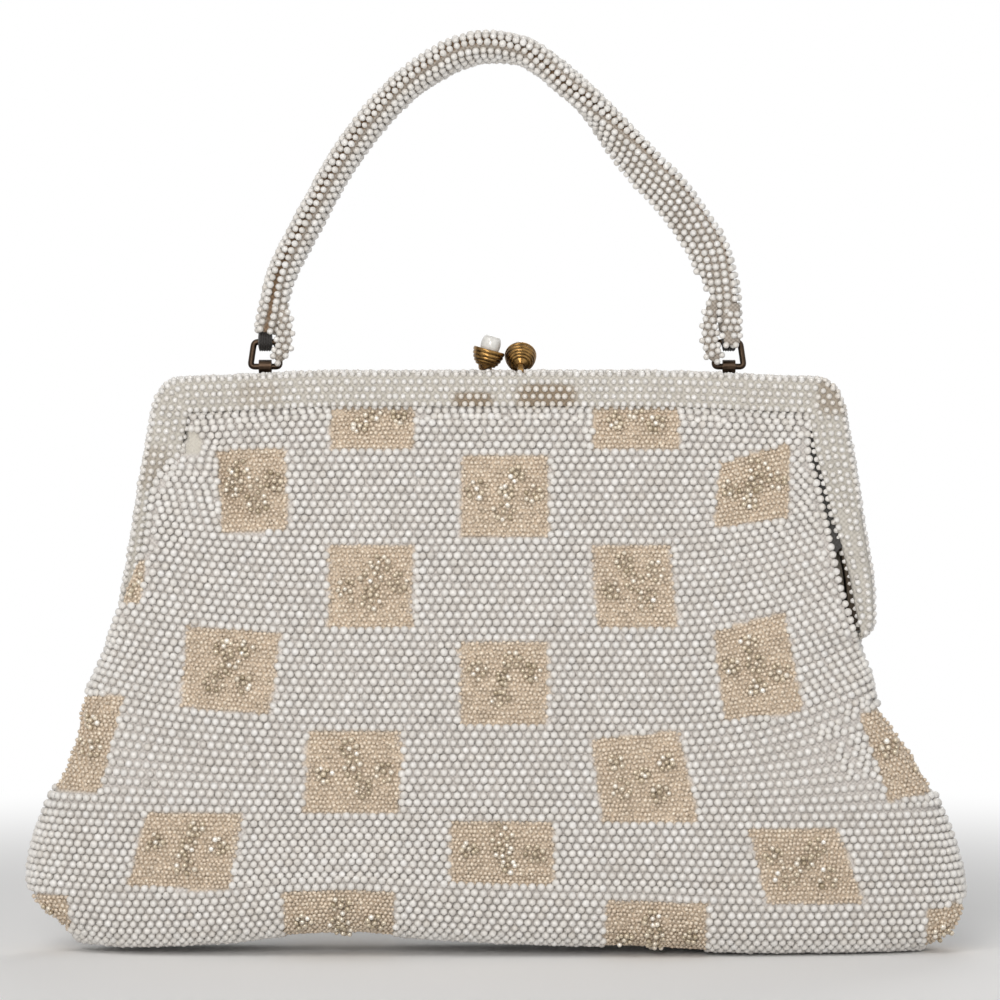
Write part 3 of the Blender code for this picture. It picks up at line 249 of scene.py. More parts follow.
# Soft forms of the front cloth: place across, height, reach across, reach up, slant of its long side, push outward
FRONT_PUFFS = (
    (-0.0732, 0.1300, 0.0030, 0.0120, -0.33, -0.0058),
    (-0.0662, 0.1270, 0.0050, 0.0140, -0.40, 0.0016),
    (-0.0600, 0.1330, 0.0100, 0.0080, 0.0, 0.0010),
    (-0.0835, 0.1190, 0.0050, 0.0120, -0.4, 0.0022),
    (-0.0810, 0.1400, 0.0030, 0.0070, -0.5, -0.0016),
    (0.0720, 0.1330, 0.0050, 0.0160, 0.35, -0.0012),
    (0.0560, 0.1180, 0.0160, 0.0140, 0.2, 0.0008),
    (-0.0200, 0.1290, 0.0240, 0.0070, 0.0, 0.0005),
    (0.0860, 0.0700, 0.0060, 0.0160, 0.4, -0.0010),
    (-0.0900, 0.0560, 0.0080, 0.0200, -0.5, -0.0009),
    (0.0300, 0.0500, 0.0300, 0.0160, 0.2, 0.0006),
    (-0.0420, 0.0330, 0.0260, 0.0120, 0.1, 0.0006),
    (0.0, 0.0178, 0.2000, 0.0016, 0.0, -0.0007),
)
BACK_PUFFS = (
    (0.0700, 0.1220, 0.0060, 0.0150, 0.45, -0.0012),
    (-0.0760, 0.1240, 0.0060, 0.0140, -0.4, -0.0010),
    (0.0, 0.0178, 0.2000, 0.0016, 0.0, -0.0006),
    (-0.0300, 0.0560, 0.0300, 0.0160, 0.2, 0.0006),
)


def smooth_value(table, at):
    """Read a table of (place, value) pairs along a smooth curve through them."""
    places, values = np.array(table).T
    rises = np.diff(values) / np.diff(places)
    before, after = rises[:-1], rises[1:]
    steady = before * after > 0
    slopes = np.zeros(len(places))
    slopes[1:-1][steady] = 2 * before[steady] * after[steady] / (before[steady] + after[steady])
    after = np.clip(np.searchsorted(places, at), 1, len(places) - 1)
    step = places[after] - places[after - 1]
    t = np.clip((at - places[after - 1]) / step, 0.0, 1.0)
    keep = (1 + 2 * t) * (1 - t) ** 2
    take = t * t * (3 - 2 * t)
    rise = (t * (1 - t) ** 2 * slopes[after - 1] - t * t * (1 - t) * slopes[after]) * step
    return values[after - 1] * keep + values[after] * take + rise


def smooth_share(value, low, high):
    t = np.clip((value - low) / (high - low), 0.0, 1.0)
    return t * t * (3 - 2 * t)


def run_along(line):
    """Length along a line of points, from 0 at its first one."""
    return np.concatenate(([0.0], np.cumsum(np.linalg.norm(np.diff(line, axis=0), axis=1))))


def unit(directions):
    return directions / np.maximum(np.linalg.norm(directions, axis=-1, keepdims=True), NO_LENGTH)


def mark_corners(piece, name, values):
    """Write one value for each corner of a piece, for its material to read."""
    mark = piece.data.attributes.new(name, "FLOAT", "POINT")
    mark.data.foreach_set("value", values.astype(np.float32))


def corner_spots(piece):
    return np.array([vert.co for vert in piece.data.vertices])


def put_on(piece, body, node):
    """A piece rides a body and stands for one node of the frame."""
    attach(piece, body)
    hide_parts(node)


def hang(piece, side):
    """The front's pieces bend across the hinges, and the back's stay with the back half."""
    if side == FRONT:
        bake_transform(piece)
    else:
        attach(piece, "back_half")


MERIDIAN_STEPS = 600
meridian_z = np.linspace(0.0, PANEL_TOP, MERIDIAN_STEPS)
meridian_y = smooth_value(MIDDLE_DEPTH, meridian_z)
BASE_HALF = float(meridian_y[0])
meridian_run = BASE_HALF + np.concatenate(([0.0], np.cumsum(np.hypot(np.diff(meridian_z), np.diff(meridian_y)))))
CLOTH_RUN = float(meridian_run[-1])


def run_to_height(run):
    """Height of a place on the cloth that lies a run from the base's seam, measured up the middle."""
    return np.interp(run, meridian_run, meridian_z)


def height_to_run(height):
    return np.interp(height, meridian_z, meridian_run)


def side_tables(side, across):
    """Half width, edge depth and land of the cloth for each place, left or right of the middle."""
    left = across < 0
    if side == FRONT:
        return left, (FRONT_LEFT, FRONT_RIGHT), (FRONT_LEFT_EDGE, FRONT_RIGHT_EDGE), (FRONT_LEFT_LAND, FRONT_RIGHT_LAND)
    return left, (BACK_LEFT, BACK_RIGHT), (BACK_EDGE, BACK_EDGE), (BACK_LAND, BACK_LAND)


def pick(left, tables, height):
    return np.where(left, smooth_value(tables[0], height), smooth_value(tables[1], height))


def bar_drop(reach, height):
    """How far the frame's bar and the cloth under it bow down, at a reach from the middle."""
    return (BAR_DROP * smooth_share(reach, BAR_DROP_START, BAR_DROP_END)
            * smooth_share(height, BAR_DROP_LOW, BAR_DROP_HIGH))


def skin_point(side, across, run):
    """Places on the cloth's outer face. across is -1 at its left edge and 1 at its right one; the land is past them."""
    across, run = np.broadcast_arrays(np.asarray(across, float), np.asarray(run, float))
    height = run_to_height(run)
    left, widths, edges, lands = side_tables(side, across)
    width = pick(left, widths, height)
    edge = pick(left, edges, height)
    reach = np.sin(np.clip(np.abs(across), 0.0, 1.0) * math.pi / 2)
    land = np.clip((np.abs(across) - 1.0) / LAND_SHARE, 0.0, 1.0) * np.maximum(pick(left, lands, height), 0.0)
    x = np.sign(across) * (width * reach + land)
    roundness = BELLY_ROUNDNESS + (FRAME_ROUNDNESS - BELLY_ROUNDNESS) * smooth_share(height, HINGE_LOW, HINGE_HIGH)
    crown = np.maximum(1 - reach ** SECTION_POWER, 0.0) ** roundness
    depth = edge + (smooth_value(MIDDLE_DEPTH, height) - edge) * crown
    for puff_x, puff_z, reach_x, reach_z, slant, push in FRONT_PUFFS if side == FRONT else BACK_PUFFS:
        off_x = (x - puff_x - slant * (height - puff_z)) / reach_x
        off_z = (height - puff_z) / reach_z
        depth = depth + push * np.exp(-off_x * off_x - off_z * off_z) * crown ** 0.5
    under = np.clip(run / BASE_HALF, 0.0, 1.0)
    lift = smooth_value(FLOOR_LIFT, x) * (1 - smooth_share(height, 0.0, LIFT_FADE))
    drop = bar_drop(np.abs(x), height)
    z = PANEL_FOOT + height * (1 - PANEL_FOOT / PANEL_TOP) + lift - drop
    y = side * (SEAM_HALF_GAP + (depth - SEAM_HALF_GAP) * under)
    return np.stack((x, y, z), axis=-1)


def skin_frame(side, across, run):
    """Places on the cloth with the direction along the row there and the outward normal."""
    across, run = np.broadcast_arrays(np.asarray(across, float), np.asarray(run, float))
    near, far = np.clip(across - ACROSS_STEP, -1, 1), np.clip(across + ACROSS_STEP, -1, 1)
    below, above = np.clip(run - RUN_STEP, 0, CLOTH_RUN), np.clip(run + RUN_STEP, 0, CLOTH_RUN)
    along = unit(skin_point(side, far, run) - skin_point(side, near, run))
    upward = skin_point(side, across, above) - skin_point(side, across, below)
    normal = np.cross(along, upward) * (-side)
    return skin_point(side, across, run), along, unit(normal)


def weave_group():
    """Plain weave: threads over and under each other. Puts out their height."""
    group = bpy.data.node_groups.new("weave", "ShaderNodeTree")
    group.interface.new_socket("Vector", in_out="INPUT", socket_type="NodeSocketVector")
    group.interface.new_socket("Thread Scale", in_out="INPUT", socket_type="NodeSocketFloat")
    group.interface.new_socket("Height", in_out="OUTPUT", socket_type="NodeSocketFloat")
    start = group.nodes.new("NodeGroupInput")
    end = group.nodes.new("NodeGroupOutput")
    place = add_node(group, "ShaderNodeVectorMath", {"operation": "SCALE"},
                     i0=start.outputs["Vector"], Scale=start.outputs["Thread Scale"])
    split = add_node(group, "ShaderNodeSeparateXYZ", i0=place.outputs[0])
    waves = [add_node(group, "ShaderNodeMath", {"operation": "SINE"}, i0=split.outputs[axis]).outputs[0]
             for axis in (0, 2)]
    over = add_node(group, "ShaderNodeMath", {"operation": "MULTIPLY"}, i0=waves[0], i1=waves[1])
    height = add_node(group, "ShaderNodeMapRange", i0=over.outputs[0], From_Min=-1.0, From_Max=1.0)
    group.links.new(height.outputs[0], end.inputs["Height"])
    return group


WEAVE = weave_group()


def add_weave(tree, thread_scale):
    place = add_node(tree, "ShaderNodeTexCoord")
    weave = tree.nodes.new("ShaderNodeGroup")
    weave.node_tree = WEAVE
    weave.inputs["Thread Scale"].default_value = thread_scale
    tree.links.new(place.outputs["Object"], weave.inputs["Vector"])
    return place.outputs["Object"], weave


# Painted shade: where the cloth runs past its edge into the frame's groove, its colour drops to this share
GROOVE_SHADE = 0.08
GROOVE_EDGE = 0.0006
BARE_COTTON = (0.58, 0.55, 0.49)


def cloth_finish(name, dark, light, thread_scale, roughness, bump, gold=None):
    """Woven cotton: threads lighter than their gaps, with soft patches of soil, a second colour where marked, bare
    cotton where marked bare, and painted shade where marked as running into the frame's groove.
    """
    material, tree, shader, _ = new_material(name)
    place, weave = add_weave(tree, thread_scale)
    soil = add_node(tree, "ShaderNodeTexNoise", Vector=place, Scale=35.0, Detail=4.0)
    mixed = add_node(tree, "ShaderNodeMath", {"operation": "MULTIPLY_ADD"}, i0=soil.outputs["Fac"], i1=0.6,
                     i2=weave.outputs["Height"])
    level = add_node(tree, "ShaderNodeMapRange", i0=mixed.outputs[0], From_Min=0.1, From_Max=1.3)
    colour = add_ramp(tree, level.outputs[0], dark, light)
    if gold:
        mark = add_node(tree, "ShaderNodeAttribute", {"attribute_name": "gold"})
        shade = add_node(tree, "ShaderNodeMapRange", i0=level.outputs[0], To_Min=0.7, To_Max=1.15)
        second = add_node(tree, "ShaderNodeVectorMath", {"operation": "SCALE"}, i0=(*gold,), Scale=shade.outputs[0])
        colour = add_node(tree, "ShaderNodeMix", {"data_type": "RGBA"}, i0=mark.outputs["Fac"], i6=colour,
                          i7=second.outputs[0]).outputs[2]
    bare = add_node(tree, "ShaderNodeAttribute", {"attribute_name": "bare"})
    colour = add_node(tree, "ShaderNodeMix", {"data_type": "RGBA"}, i0=bare.outputs["Fac"], i6=colour,
                      i7=(*BARE_COTTON, 1.0)).outputs[2]
    # Painted shade in the frame's groove: the groove mark darkens the colour toward GROOVE_SHADE
    groove = add_node(tree, "ShaderNodeAttribute", {"attribute_name": "groove"})
    depth = add_node(tree, "ShaderNodeMapRange", i0=groove.outputs["Fac"], To_Min=1.0, To_Max=GROOVE_SHADE)
    shown = add_node(tree, "ShaderNodeVectorMath", {"operation": "SCALE"}, i0=colour, Scale=depth.outputs[0])
    tree.links.new(shown.outputs[0], shader.inputs["Base Color"])
    shader.inputs["Roughness"].default_value = roughness
    shader.inputs["Sheen Weight"].default_value = 0.15
    relief = add_node(tree, "ShaderNodeBump", Strength=bump, Distance=0.0002, Height=weave.outputs["Height"])
    tree.links.new(relief.outputs["Normal"], shader.inputs["Normal"])
    return material


net_finish = cloth_finish("net_cotton", (0.46, 0.43, 0.405), (0.72, 0.685, 0.655), 5200.0, 0.85, 0.5,
                          gold=(0.66, 0.55, 0.43))


def finish_piece(name, bm, material):
    """Turn a bmesh into a named object at the origin, with its material."""
    bm.normal_update()
    mesh = bpy.data.meshes.new(name)
    bm.to_mesh(mesh)
    bm.free()
    mesh.shade_smooth()
    mesh.materials.append(material)
    piece = bpy.data.objects.new(name, mesh)
    bpy.context.scene.collection.objects.link(piece)
    return piece


def mapped_grid(name, place, columns, rows, material, wall=0.0, closed=False, flip=False):
    """A grid whose corners a rule puts in place from their two shares, with a wall inward if it has one."""
    bm = bmesh.new()
    bmesh.ops.create_grid(bm, x_segments=columns, y_segments=rows, size=0.5)
    shares = np.array([vert.co for vert in bm.verts]) + 0.5
    for vert, spot in zip(bm.verts, place(shares[:, 0], shares[:, 1])):
        vert.co = spot
    bmesh.ops.remove_doubles(bm, verts=bm.verts, dist=MERGE_REACH)
    bmesh.ops.dissolve_degenerate(bm, edges=bm.edges, dist=MERGE_REACH)
    if closed:
        bmesh.ops.recalc_face_normals(bm, faces=bm.faces)
    if flip:
        bmesh.ops.reverse_faces(bm, faces=bm.faces)
    piece = finish_piece(name, bm, material)
    if wall:
        solid = piece.modifiers.new("wall", "SOLIDIFY")
        solid.thickness = wall
        solid.offset = -1.0
    return piece


def skin_place(side):
    return lambda u, v: skin_point(side, (2 * u - 1) * (1 + LAND_SHARE), CLOTH_RUN * v)


MERGE_REACH = 1e-5
CLOTH_COLUMNS = 180
CLOTH_ROWS = 130
front_cloth = mapped_grid("front_cloth", skin_place(FRONT), CLOTH_COLUMNS, CLOTH_ROWS, net_finish, CLOTH_WALL)
hang(front_cloth, FRONT)
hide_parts("front_lower_panel", "front_upper_panel")
back_cloth = mapped_grid("back_cloth", skin_place(BACK), CLOTH_COLUMNS, CLOTH_ROWS, net_finish, CLOTH_WALL, flip=True)
put_on(back_cloth, "back_half", "back_panel")

# White beads: round chalk-white glass, about 2.3 mm across, sewn down in close staggered rows over the whole cloth.
# Their rows run level across the middle, sweep up toward the right arm, and leave the gold squares free.
BEAD_PITCH = 0.00238
ROW_PITCH = 0.00206
BEAD_RADIUS = 0.00114
BEAD_SEAT = 0.00055
ROW_SAMPLES = 900
ROW_SPARE = 0.004
PITCH_DRIFT = 0.00007
ROW_DRIFT = 0.00006
WHITE_SIZE_SPREAD = 0.035
WHITE_TONE_SPREAD = 0.16
REACH_LIMIT = 0.998
EDGE_SHARE = 0.994
EDGE_PITCH = 0.0023
EDGE_ROOM = 0.0018
RIGHT_RISE_START = 0.045
RIGHT_RISE = 3.6
LEFT_RISE_START = 0.045
LEFT_RISE = 1.5
RISE_LOW = 0.035
RISE_FULL = 0.065
RISE_END = 0.105
RISE_TOP = 0.1475
ROW_TOP_HEIGHT = 0.1480
FILL_HALF_SPAN = 0.130
FILL_STEP = 0.0006
FILL_ROOM = 0.00168
WHITE_BEAD_SIDES = 8
WHITE_BEAD_RINGS = 4
# Corners of the gold squares in the photograph: left and right end of the top edge, then right and left of the lower
SQUARES_PIXELS = (
    ((330, 366), (413, 366), (413, 450), (330, 450)), ((595, 366), (680, 366), (680, 450), (595, 450)),
    ((213, 450), (283, 452), (287, 529), (221, 530)), ((461, 457), (549, 457), (549, 541), (461, 541)),
    ((722, 461), (793, 440), (790, 518), (715, 530)), ((328, 545), (412, 545), (412, 628), (328, 628)),
    ((591, 547), (671, 547), (677, 628), (597, 628)), ((186, 624), (280, 632), (270, 717), (181, 708)),
    ((460, 640), (547, 640), (547, 725), (460, 725)), ((714, 631), (785, 616), (803, 713), (724, 718)),
    ((310, 732), (402, 733), (399, 811), (305, 811)), ((590, 735), (678, 733), (697, 819), (602, 820)),
    ((40, 700), (122, 701), (98, 793), (10, 790)), ((861, 714), (945, 696), (972, 786), (889, 803)),
    ((148, 811), (245, 815), (231, 887), (129, 887)), ((452, 818), (553, 818), (553, 883), (452, 883)),
    ((747, 824), (836, 825), (863, 906), (766, 901)), ((98, 562), (143, 564), (138, 606), (84, 604)),
)
# Bare cloth in the left corner, where the beads stop short of the frame
BARE_PIXELS = (((187, 428), (197, 429), (200, 452), (189, 452)),)
# Squares that turn under the base: left and right end of the top edge
BASE_SQUARES_PIXELS = (
    ((284, 890), (394, 892)), ((605, 896), (706, 899)), ((0, 900), (67, 900)), ((929, 907), (1000, 906)),
)
SQUARE_SIDE = 11 * ROW_PITCH
SQUARE_DEPTH = 0.016
SQUARE_MARGIN = 0.0005
BARE_DEPTH = 0.006
BARE_REACH = 0.0008
UNDER_HEIGHT = 0.0030


def from_photo(pixel_x, pixel_y, depth):
    """Place across and height of a photograph's pixel, at a depth in front of the middle plane."""
    near = (VIEW_DISTANCE - depth) / VIEW_DISTANCE
    return VIEW_X + (pixel_x - PHOTO_PIXELS / 2) * PIXEL * near, VIEW_Z - (pixel_y - PHOTO_PIXELS / 2) * PIXEL * near


def cloth_run_at(x, z):
    """Run of a visible place on the cloth from its place across and height."""
    lift = smooth_value(FLOOR_LIFT, np.asarray(x, float)) * (1 - smooth_share(z, 0.0, LIFT_FADE))
    return height_to_run((z - PANEL_FOOT - lift) / (1 - PANEL_FOOT / PANEL_TOP))


def row_rise(x, height):
    """How far the rows sweep up beside the arms."""
    swell = smooth_share(height, RISE_LOW, RISE_FULL) * (1 - smooth_share(height, RISE_END, RISE_TOP))
    right = RIGHT_RISE * np.maximum(x - RIGHT_RISE_START, 0.0) ** 2
    left = LEFT_RISE * np.maximum(-x - LEFT_RISE_START, 0.0) ** 2
    return (right + left) * swell


def between_rows(x, z):
    """A square's corner on the cloth, moved to the line between two rows of beads."""
    run = float(cloth_run_at(x, z))
    rise = float(row_rise(x, run_to_height(run)))
    return x, round((run - rise) / ROW_PITCH) * ROW_PITCH + rise


squares = [[between_rows(*from_photo(px, py, SQUARE_DEPTH)) for px, py in corners] for corners in SQUARES_PIXELS]
for corners in BASE_SQUARES_PIXELS:
    top = [between_rows(*from_photo(px, py, SQUARE_DEPTH)) for px, py in corners]
    squares.append(top + [(x, run - SQUARE_SIDE) for x, run in reversed(top)])


bare_patches = []
for corners in BARE_PIXELS:
    spots = [from_photo(px, py, BARE_DEPTH) for px, py in corners]
    bare_patches.append([(x, float(cloth_run_at(x, z))) for x, z in spots])


def open_patches(side):
    """The patches of a cloth that its white beads leave free."""
    return squares + (bare_patches if side == FRONT else [])


def inside_square(corners, x, run, margin):
    """Which places lie within a margin round a four-sided patch of the cloth."""
    inside = np.ones(np.shape(x), bool)
    for (x1, r1), (x2, r2) in zip(corners, corners[1:] + corners[:1]):
        length = math.hypot(x2 - x1, r2 - r1)
        inside &= ((x - x1) * (r2 - r1) - (run - r1) * (x2 - x1)) / length > -margin
    return inside


for cloth in (front_cloth, back_cloth):
    corners_of = corner_spots(cloth)
    runs = cloth_run_at(corners_of[:, 0], corners_of[:, 2])
    under = corners_of[:, 2] < UNDER_HEIGHT
    runs = np.where(under & (np.abs(corners_of[:, 1]) < BASE_HALF), np.abs(corners_of[:, 1]), runs)
    gold = np.zeros(len(corners_of), bool)
    for corners in squares:
        gold |= inside_square(corners, corners_of[:, 0], runs, 0.0)
    bare = np.zeros(len(corners_of), bool)
    for corners in bare_patches if cloth is front_cloth else ():
        bare |= inside_square(corners, corners_of[:, 0], runs, BARE_REACH)
    mark_corners(cloth, "gold", gold)
    mark_corners(cloth, "bare", bare)
    left, widths, _, _ = side_tables(FRONT if cloth is front_cloth else BACK, corners_of[:, 0])
    width = pick(left, widths, run_to_height(runs))
    # Mark for the painted shade in the groove: 0 on the cloth's face, rising to 1 just past its edge
    mark_corners(cloth, "groove", smooth_share(np.abs(corners_of[:, 0]) - width, 0.0, GROOVE_EDGE))


def read_shape(bm):
    """Corners and triangles of a bmesh, in an order that is the same each run. The bmesh is freed."""
    corners = np.array([vert.co for vert in bm.verts])
    order = np.lexsort(corners.T)
    faces = np.argsort(order)[[[vert.index for vert in face.verts] for face in bm.faces]]
    bm.free()
    faces = np.array([np.roll(face, -np.argmin(face)) for face in faces])
    return corners[order], faces[np.lexsort(faces.T)]


def bead_shape(sides, rings, radius):
    """One bead's corners and triangles, its hole along X."""
    bm = bmesh.new()
    bmesh.ops.create_uvsphere(bm, u_segments=sides, v_segments=rings, radius=radius)
    bmesh.ops.triangulate(bm, faces=bm.faces)
    return read_shape(bm)


def sew_beads(name, shape, spots, along, normals, scales, tones, material):
    """One piece of many beads, each at its spot with its hole along the row, and a tone of its own."""
    corners, faces = shape
    side = np.cross(normals, along)
    turns = np.stack((along, side, normals), axis=1)
    verts = spots[:, None, :] + np.einsum("kc,bcd->bkd", corners, turns) * scales[:, None, None]
    polygons = faces[None, :, :] + (np.arange(len(spots)) * len(corners))[:, None, None]
    mesh = bpy.data.meshes.new(name)
    count = polygons.size // 3
    mesh.vertices.add(verts.size // 3)
    mesh.vertices.foreach_set("co", verts.astype(np.float32).ravel())
    mesh.loops.add(count * 3)
    mesh.loops.foreach_set("vertex_index", polygons.astype(np.int32).ravel())
    mesh.polygons.add(count)
    mesh.polygons.foreach_set("loop_start", np.arange(0, count * 3, 3, dtype=np.int32))
    mesh.update(calc_edges=True)
    mesh.shade_smooth()
    tone = mesh.attributes.new("tone", "FLOAT", "POINT")
    tone.data.foreach_set("value", np.repeat(tones, len(corners)).astype(np.float32))
    mesh.materials.append(material)
    beads = bpy.data.objects.new(name, mesh)
    bpy.context.scene.collection.objects.link(beads)
    return beads


GOLD_GLASS = (0.66, 0.57, 0.45)


def bead_finish(name, dark, middle, light, roughness, metallic, coat):
    """Glass beads whose colour runs from dark to light with each bead's own tone, and gold where marked."""
    material, tree, shader, _ = new_material(name)
    tone = add_node(tree, "ShaderNodeAttribute", {"attribute_name": "tone"})
    tint = add_ramp(tree, tone.outputs["Fac"], dark, middle, light)
    place = add_node(tree, "ShaderNodeTexCoord")
    grime = add_node(tree, "ShaderNodeTexNoise", Vector=place.outputs["Object"], Scale=420.0, Detail=2.0)
    shade = add_node(tree, "ShaderNodeMapRange", i0=grime.outputs["Fac"], From_Min=0.3, From_Max=0.7,
                     To_Min=0.88, To_Max=1.04)
    mark = add_node(tree, "ShaderNodeAttribute", {"attribute_name": "gold"})
    golden = add_node(tree, "ShaderNodeMix", {"data_type": "RGBA"}, i0=mark.outputs["Fac"], i6=tint,
                      i7=(*GOLD_GLASS, 1.0))
    mixed = add_node(tree, "ShaderNodeVectorMath", {"operation": "SCALE"}, i0=golden.outputs[2],
                     Scale=shade.outputs[0])
    tree.links.new(mixed.outputs[0], shader.inputs["Base Color"])
    rough = add_node(tree, "ShaderNodeMapRange", i0=grime.outputs["Fac"], From_Min=0.3, From_Max=0.7,
                     To_Min=roughness * 0.8, To_Max=roughness * 1.3)
    tree.links.new(rough.outputs[0], shader.inputs["Roughness"])
    shader.inputs["Metallic"].default_value = metallic
    shader.inputs["Coat Weight"].default_value = coat
    shader.inputs["Coat Roughness"].default_value = 0.08
    return material


white_finish = bead_finish("white_glass", (0.64, 0.605, 0.56), (0.75, 0.725, 0.69), (0.82, 0.805, 0.785),
                           0.34, 0.0, 0.2)
white_shape = bead_shape(WHITE_BEAD_SIDES, WHITE_BEAD_RINGS, BEAD_RADIUS)


def fill_holes(side, across, run, top_run):
    """More spots where the rows leave a hole beside an edge or a square."""
    tree = KDTree(len(run))
    for index, spot in enumerate(skin_point(side, across, run)):
        tree.insert(spot, index)
    tree.balance()
    x, at = np.meshgrid(np.arange(-FILL_HALF_SPAN, FILL_HALF_SPAN, FILL_STEP), np.arange(FILL_STEP, top_run, FILL_STEP))
    x, at = x.ravel(), at.ravel()
    held, reach = on_cloth(side, x, at)
    for corners in open_patches(side):
        held &= ~inside_square(corners, x, at, SQUARE_MARGIN)
    reach, at = reach[held], at[held]
    held = np.abs(reach) < EDGE_SHARE
    reach, at = reach[held], at[held]
    added = []
    for index, spot in enumerate(skin_point(side, reach, at)):
        if tree.find(spot)[2] > FILL_ROOM and all(np.sum((spot - other) ** 2) > FILL_ROOM ** 2 for other, _ in added):
            added.append((spot, index))
    chosen = [index for _, index in added]
    return np.concatenate((across, reach[chosen])), np.concatenate((run, at[chosen]))


def on_cloth(side, x, run):
    """Which places lie on the cloth, and how far across it they are."""
    height = run_to_height(run)
    left, widths, _, _ = side_tables(side, x)
    reach = np.abs(x) / pick(left, widths, height)
    held = (reach < REACH_LIMIT) & (run > 0.0) & (run < height_to_run(ROW_TOP_HEIGHT))
    return held, np.sign(x) * np.arcsin(np.clip(reach, 0.0, 1.0)) * 2 / math.pi


def white_rows(side, seed):
    """Spots of the white beads on one cloth, row by row, at an even step along the cloth."""
    draw = np.random.default_rng(seed)
    fine = np.linspace(-1.0, 1.0, ROW_SAMPLES)
    spots_across = []
    spots_run = []
    row_count = int((CLOTH_RUN + ROW_SPARE) / ROW_PITCH)
    for row in range(row_count):
        base_run = (row + 0.5) * ROW_PITCH
        x = skin_point(side, fine, base_run)[:, 0]
        run = base_run + row_rise(x, run_to_height(base_run))
        places = skin_point(side, fine, np.clip(run, 0, CLOTH_RUN))
        length = run_along(places)
        middle = np.interp(0.0, fine, length)
        first = int(np.ceil(-middle / BEAD_PITCH))
        last = int(np.floor((length[-1] - middle) / BEAD_PITCH))
        steps = np.arange(first, last + 1) + 0.5 * (row % 2)
        at = middle + steps * BEAD_PITCH + draw.normal(0.0, PITCH_DRIFT, len(steps))
        at = at[(at > EDGE_ROOM) & (at < length[-1] - EDGE_ROOM)]
        spots_across.append(np.interp(at, length, fine))
        spots_run.append(np.interp(at, length, run))
    edge_run = np.linspace(0.0, CLOTH_RUN, ROW_SAMPLES)
    for edge in (-EDGE_SHARE, EDGE_SHARE):
        places = skin_point(side, np.full(ROW_SAMPLES, edge), edge_run)
        length = run_along(places)
        at = np.arange(0.5, length[-1] / EDGE_PITCH) * EDGE_PITCH
        spots_across.append(np.full(len(at), edge))
        spots_run.append(np.interp(at, length, edge_run))
    across = np.concatenate(spots_across)
    run = np.concatenate(spots_run) + draw.normal(0.0, ROW_DRIFT, len(across))
    top_run = height_to_run(ROW_TOP_HEIGHT)
    keep = (run > 0.0) & (run < top_run - EDGE_ROOM)
    places = skin_point(side, fine, top_run)
    length = run_along(places)
    at = np.arange(0.5, length[-1] / EDGE_PITCH) * EDGE_PITCH
    across = np.concatenate((across[keep], np.interp(at, length, fine)))
    run = np.concatenate((run[keep], np.full(len(at), top_run)))
    x = skin_point(side, across, run)[:, 0]
    free = np.ones(len(x), bool)
    for corners in open_patches(side):
        free &= ~inside_square(corners, x, run, SQUARE_MARGIN)
    across, run = fill_holes(side, across[free], run[free], top_run)
    return across, run, draw


def sew_white(side, label, seed):
    across, run, draw = white_rows(side, seed)
    spots, along, normals = skin_frame(side, across, run)
    seat = BEAD_SEAT + draw.normal(0.0, ROW_DRIFT, len(spots))
    spots = spots + normals * seat[:, None]
    scales = draw.normal(1.0, WHITE_SIZE_SPREAD, len(spots))
    tones = np.clip(draw.normal(0.5, WHITE_TONE_SPREAD, len(spots)), 0.0, 1.0)
    low = run < np.median(run)
    for part, chosen in (("lower", low), ("upper", ~low)):
        beads = sew_beads(f"{label}_white_beads_{part}", white_shape, spots[chosen], along[chosen], normals[chosen],
                          scales[chosen], tones[chosen], white_finish)
        hang(beads, side)
    print(label, "white beads", len(spots))


sew_white(FRONT, "front", 11)
sew_white(BACK, "back", 12)

# Gold squares: fine champagne seed beads, 1.2 mm apart, in a chequered order over the cloth and round its sides.
# Each square carries a spray of larger glass beads, sewn on in small raised rings.
SEED_PITCH = 0.00124
SEED_RADIUS = 0.00064
SEED_SEAT = 0.00035
SPRAY_BEAD_RADIUS = 0.00078
SPRAY_RING_RADIUS = 0.0022
SPRAY_RING_BEADS = 7
SPRAY_SEAT = 0.0007
SPRAY_RISE = 0.0009
SPRAY_SPREAD = 0.30
SPRAY_CENTRE = 0.55
SPRAY_RINGS = 5
SPRAY_EDGE = 0.90
SPRAY_WIDE = 1.1
SPRAY_TALL = 0.8
SPRAY_DRIFT = 0.0003
SPRAY_MIDDLE_RISE = 0.0006
SPRAY_TURN_SPREAD = 0.2
SPRAY_SIZES = (0.75, 1.1)
SPRAY_SIDES = 8
SPRAY_FACE_RINGS = 5
SEED_STAGGER = 0.25
SEED_DRIFT = 0.12
SEED_SEAT_DRIFT = 0.00005
SEED_TILT = 0.25
SEED_SIZE_SPREAD = 0.08
SEED_TONE_SPREAD = 0.22

seed_finish = bead_finish("gold_seed_glass", (0.54, 0.445, 0.34), (0.68, 0.57, 0.45), (0.80, 0.70, 0.57),
                          0.36, 0.1, 0.15)
spray_finish = bead_finish("smoky_gold_glass", (0.36, 0.29, 0.19), (0.62, 0.53, 0.40), (0.95, 0.91, 0.84),
                           0.18, 0.3, 0.6)


def fine_shape(radius):
    bm = bmesh.new()
    bmesh.ops.create_icosphere(bm, subdivisions=1, radius=radius)
    return read_shape(bm)


def square_spots(corners, share_x, share_up):
    """Places on the cloth at shares of a square, from its lower left corner."""
    (x1, r1), (x2, r2), (x3, r3), (x4, r4) = corners
    x = (x4 * (1 - share_x) + x3 * share_x) * (1 - share_up) + (x1 * (1 - share_x) + x2 * share_x) * share_up
    run = (r4 * (1 - share_x) + r3 * share_x) * (1 - share_up) + (r1 * (1 - share_x) + r2 * share_x) * share_up
    return x, run


